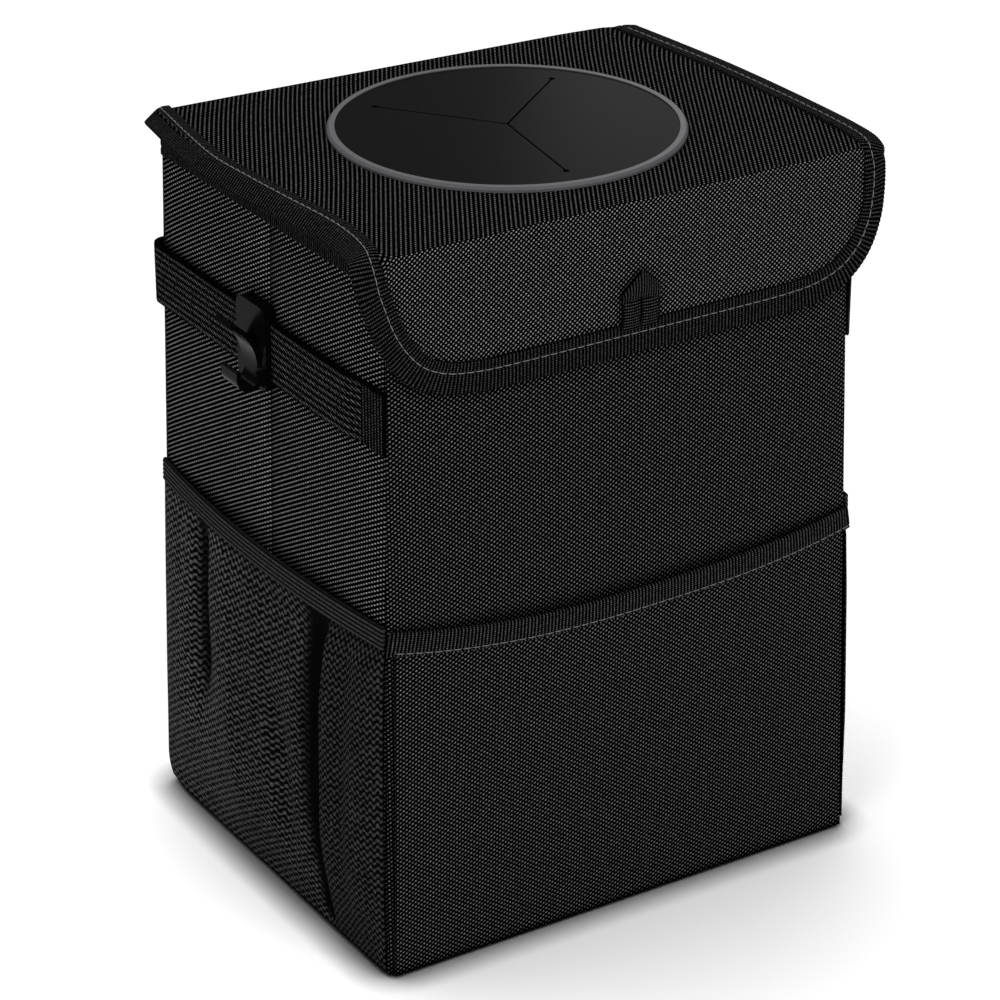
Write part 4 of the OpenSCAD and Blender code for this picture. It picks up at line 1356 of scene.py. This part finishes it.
class BIN_OT_inside(BinOperator, bpy.types.Operator):
    """Fits the waterproof liner and finishes the boards between it and the cloth"""

    bl_idname = "fabric_bin.inside"
    bl_label = "Liner and boards"

    def make(self, look):
        film = finish("peva_film", look)
        levels, per_side = 48, 36
        # The walls' film lies this far inside the body, between these heights
        gap, low, high = 3.0, 3.8, 285.4

        def ring(z):
            points = []
            for side in SIDES:
                span = half_len(side, z) - gap
                for i in range(per_side + 1):
                    u = span * (2 * i / per_side - 1)
                    edge = smooth(span - abs(u), 0, 4)
                    wrinkle = 0.5 * (1 + ripple(u / 17.0, z / 23.0, 2.0 + SIDES.index(side)))
                    wrinkle *= edge * smooth(WALL_H - z, 10, 30)
                    points.append(on_wall(side, u, z, -gap - 0.6 * (1 - edge) - wrinkle))
            return points + points[:1]

        rings = [ring(low + (high - low) * k / levels) for k in range(levels + 1)]
        columns = len(rings[0]) - 1

        def wall_place(s, t):
            return rings[round(t * levels)][round((1 - s) * columns)]

        measure = evenly(700, 280)
        walls = cloth(
            "liner_walls", columns, levels, wall_place, measure, film, FILM_THICK, closed=True, offset=1.0
        )
        # The floor's film lies on the base board
        low_x, low_y, floor_low = half_w(4) - 3.3, half_d(4) - 3.3, 3.95

        def floor_place(s, t):
            z = floor_low + 0.125 * (1 + ripple(s * 7, t * 6, 7.0))
            return (low_x * (2 * s - 1), low_y * (2 * t - 1), z)

        floor = cloth("liner_floor", 40, 34, floor_place, evenly(200, 170), film, FILM_THICK, offset=1.0)
        liner = joined("liner_film", [walls, floor])
        fit(liner, "bin", ("liner",))
        # Cut as a strip for the walls and a floor: 6 mm less than the body each way
        lining = cloth("lid_lining_cloth", 48, 40, self.lining_place, evenly(200, 160), film)
        lining.data.flip_normals()
        cut_round(lining, LINING_HOLE)
        thicken(lining, FILM_THICK)
        fit(lining, "lid", ("lid_lining",))
        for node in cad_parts:
            if node.endswith("_board"):
                dress(node, finish("polypropylene_board", look))

    def lining_place(self, s, t):
        x = (RIM_W / 2 - 1.2) * (2 * s - 1)
        y = CREASE_Y + 1.8 + (HINGE_Y - 0.3 - CREASE_Y - 1.8) * t
        return (x, y, LID_TOP - 3.35)


class BIN_OT_stage(BinOperator, bpy.types.Operator):
    """Sets the pale floor, the studio light and the camera at the photograph's angle"""

    bl_idname = "fabric_bin.stage"
    bl_label = "Stage"

    def make(self, look):
        scene = bpy.context.scene
        scene.view_settings.view_transform = "Standard"
        deselect()
        bpy.ops.mesh.primitive_plane_add(size=8.0, location=(0, 0, -0.0005))
        floor = bpy.context.object
        floor.name = "floor"
        paint = bpy.data.materials.new("floor_paint")
        paint.use_nodes = True
        tree = paint.node_tree
        tree.nodes.clear()
        # The last centimetre beside the walls gets hardly any light
        near = add(tree, "AmbientOcclusion", {"Distance": 0.014}, samples=8).outputs["AO"]
        dim = add(tree, "Math", {0: near, 1: 2.0}, operation="POWER").outputs[0]
        inputs = {0: dim, 6: linear("#000000"), 7: linear("#e2e2e2")}
        pale = add(tree, "Mix", inputs, data_type="RGBA").outputs[2]
        lit = add(tree, "BsdfDiffuse", {"Color": pale})
        add(tree, "OutputMaterial", {0: lit.outputs[0]})
        floor.data.materials.append(paint)

        world = bpy.data.worlds.new("studio")
        scene.world = world
        world.use_nodes = True
        sky = world.node_tree
        sky.nodes.clear()
        rays = add(sky, "LightPath").outputs
        # The camera sees white; the surfaces get a weaker light from all round
        inputs = {0: rays["Is Camera Ray"], 1: rays["Is Transmission Ray"]}
        view = add(sky, "Math", inputs, operation="MAXIMUM").outputs[0]
        soft = add(sky, "Background", {"Color": (1, 1, 1, 1), "Strength": 0.3})
        white = add(sky, "Background", {"Color": (1, 1, 1, 1), "Strength": 1.0})
        seen = add(sky, "MixShader", {0: view, 1: soft.outputs[0], 2: white.outputs[0]})
        add(sky, "OutputWorld", {0: seen.outputs[0]})

        def lamp(name, kind, place, aim, power, size):
            light = bpy.data.lights.new(name, kind)
            if kind == "AREA":
                light.shape = "RECTANGLE"
                light.size, light.size_y = size
            else:
                light.angle = radians(size)
            light.energy = power
            made = bpy.data.objects.new(name, light)
            made.location = place
            made.rotation_euler = (Vector(aim) - Vector(place)).to_track_quat("-Z", "Y").to_euler()
            scene.collection.objects.link(made)

        # A wide light from above and behind gives the floor its white and the soft shadow in front
        lamp("overhead_light", "SUN", (-0.05, 0.7, 1.6), (0, 0, 0), 3.2, 60)
        lamp("front_softbox", "AREA", (0.1, -1.3, 0.9), (0, 0, 0.15), 16, (0.9, 0.9))
        lamp("left_softbox", "AREA", (-1.2, -0.7, 0.8), (0, 0, 0.15), 9, (0.6, 0.6))
        # This one shows only in the membrane, which it brightens towards the right
        lamp("back_softbox", "AREA", (0.77, 0.72, 0.62), (0, 0, 0.29), 0.5, (0.5, 0.3))

        camera = bpy.data.cameras.new("camera")
        camera.lens = 130.8
        camera.sensor_width = 36
        made = bpy.data.objects.new("camera", camera)
        target = Vector((-1.43, -0.82, 137.0)) * MM
        turn, rise, reach = radians(-32.22), radians(25.91), 1.430
        back = Vector((sin(turn) * cos(rise), -cos(turn) * cos(rise), sin(rise)))
        made.location = target + back * reach
        made.rotation_euler = back.to_track_quat("Z", "Y").to_euler()
        scene.collection.objects.link(made)
        scene.camera = made


class BIN_PT_panel(bpy.types.Panel):
    """Lists the bin's operators in the sidebar"""

    bl_label = "Fabric bin"
    bl_idname = "BIN_PT_panel"
    bl_space_type = "VIEW_3D"
    bl_region_type = "UI"
    bl_category = "Fabric Bin"

    def draw(self, context):
        look = context.scene.bin_look
        for name in look.bl_rna.properties.keys():
            if name not in ("rna_type", "name"):
                self.layout.prop(look, name)
        for operator in OPERATORS:
            self.layout.operator(operator.bl_idname)


OPERATORS = (
    BIN_OT_stage,
    BIN_OT_body,
    BIN_OT_piping,
    BIN_OT_rim,
    BIN_OT_front_pocket,
    BIN_OT_mesh_pockets,
    BIN_OT_strap,
    BIN_OT_hooks,
    BIN_OT_lid,
    BIN_OT_hinge,
    BIN_OT_closure,
    BIN_OT_membrane,
    BIN_OT_inside,
)
CLASSES = (BIN_PG_look, *OPERATORS, BIN_PT_panel)


def register():
    for made in CLASSES:
        bpy.utils.register_class(made)
    bpy.types.Scene.bin_look = bpy.props.PointerProperty(type=BIN_PG_look)


def unregister():
    del bpy.types.Scene.bin_look
    for made in reversed(CLASSES):
        bpy.utils.unregister_class(made)


def main():
    register()
    for operator in OPERATORS:
        group, name = operator.bl_idname.split(".")
        getattr(getattr(bpy.ops, group), name)()
    bpy.context.view_layer.update()


if __name__ == "__main__":
    main()
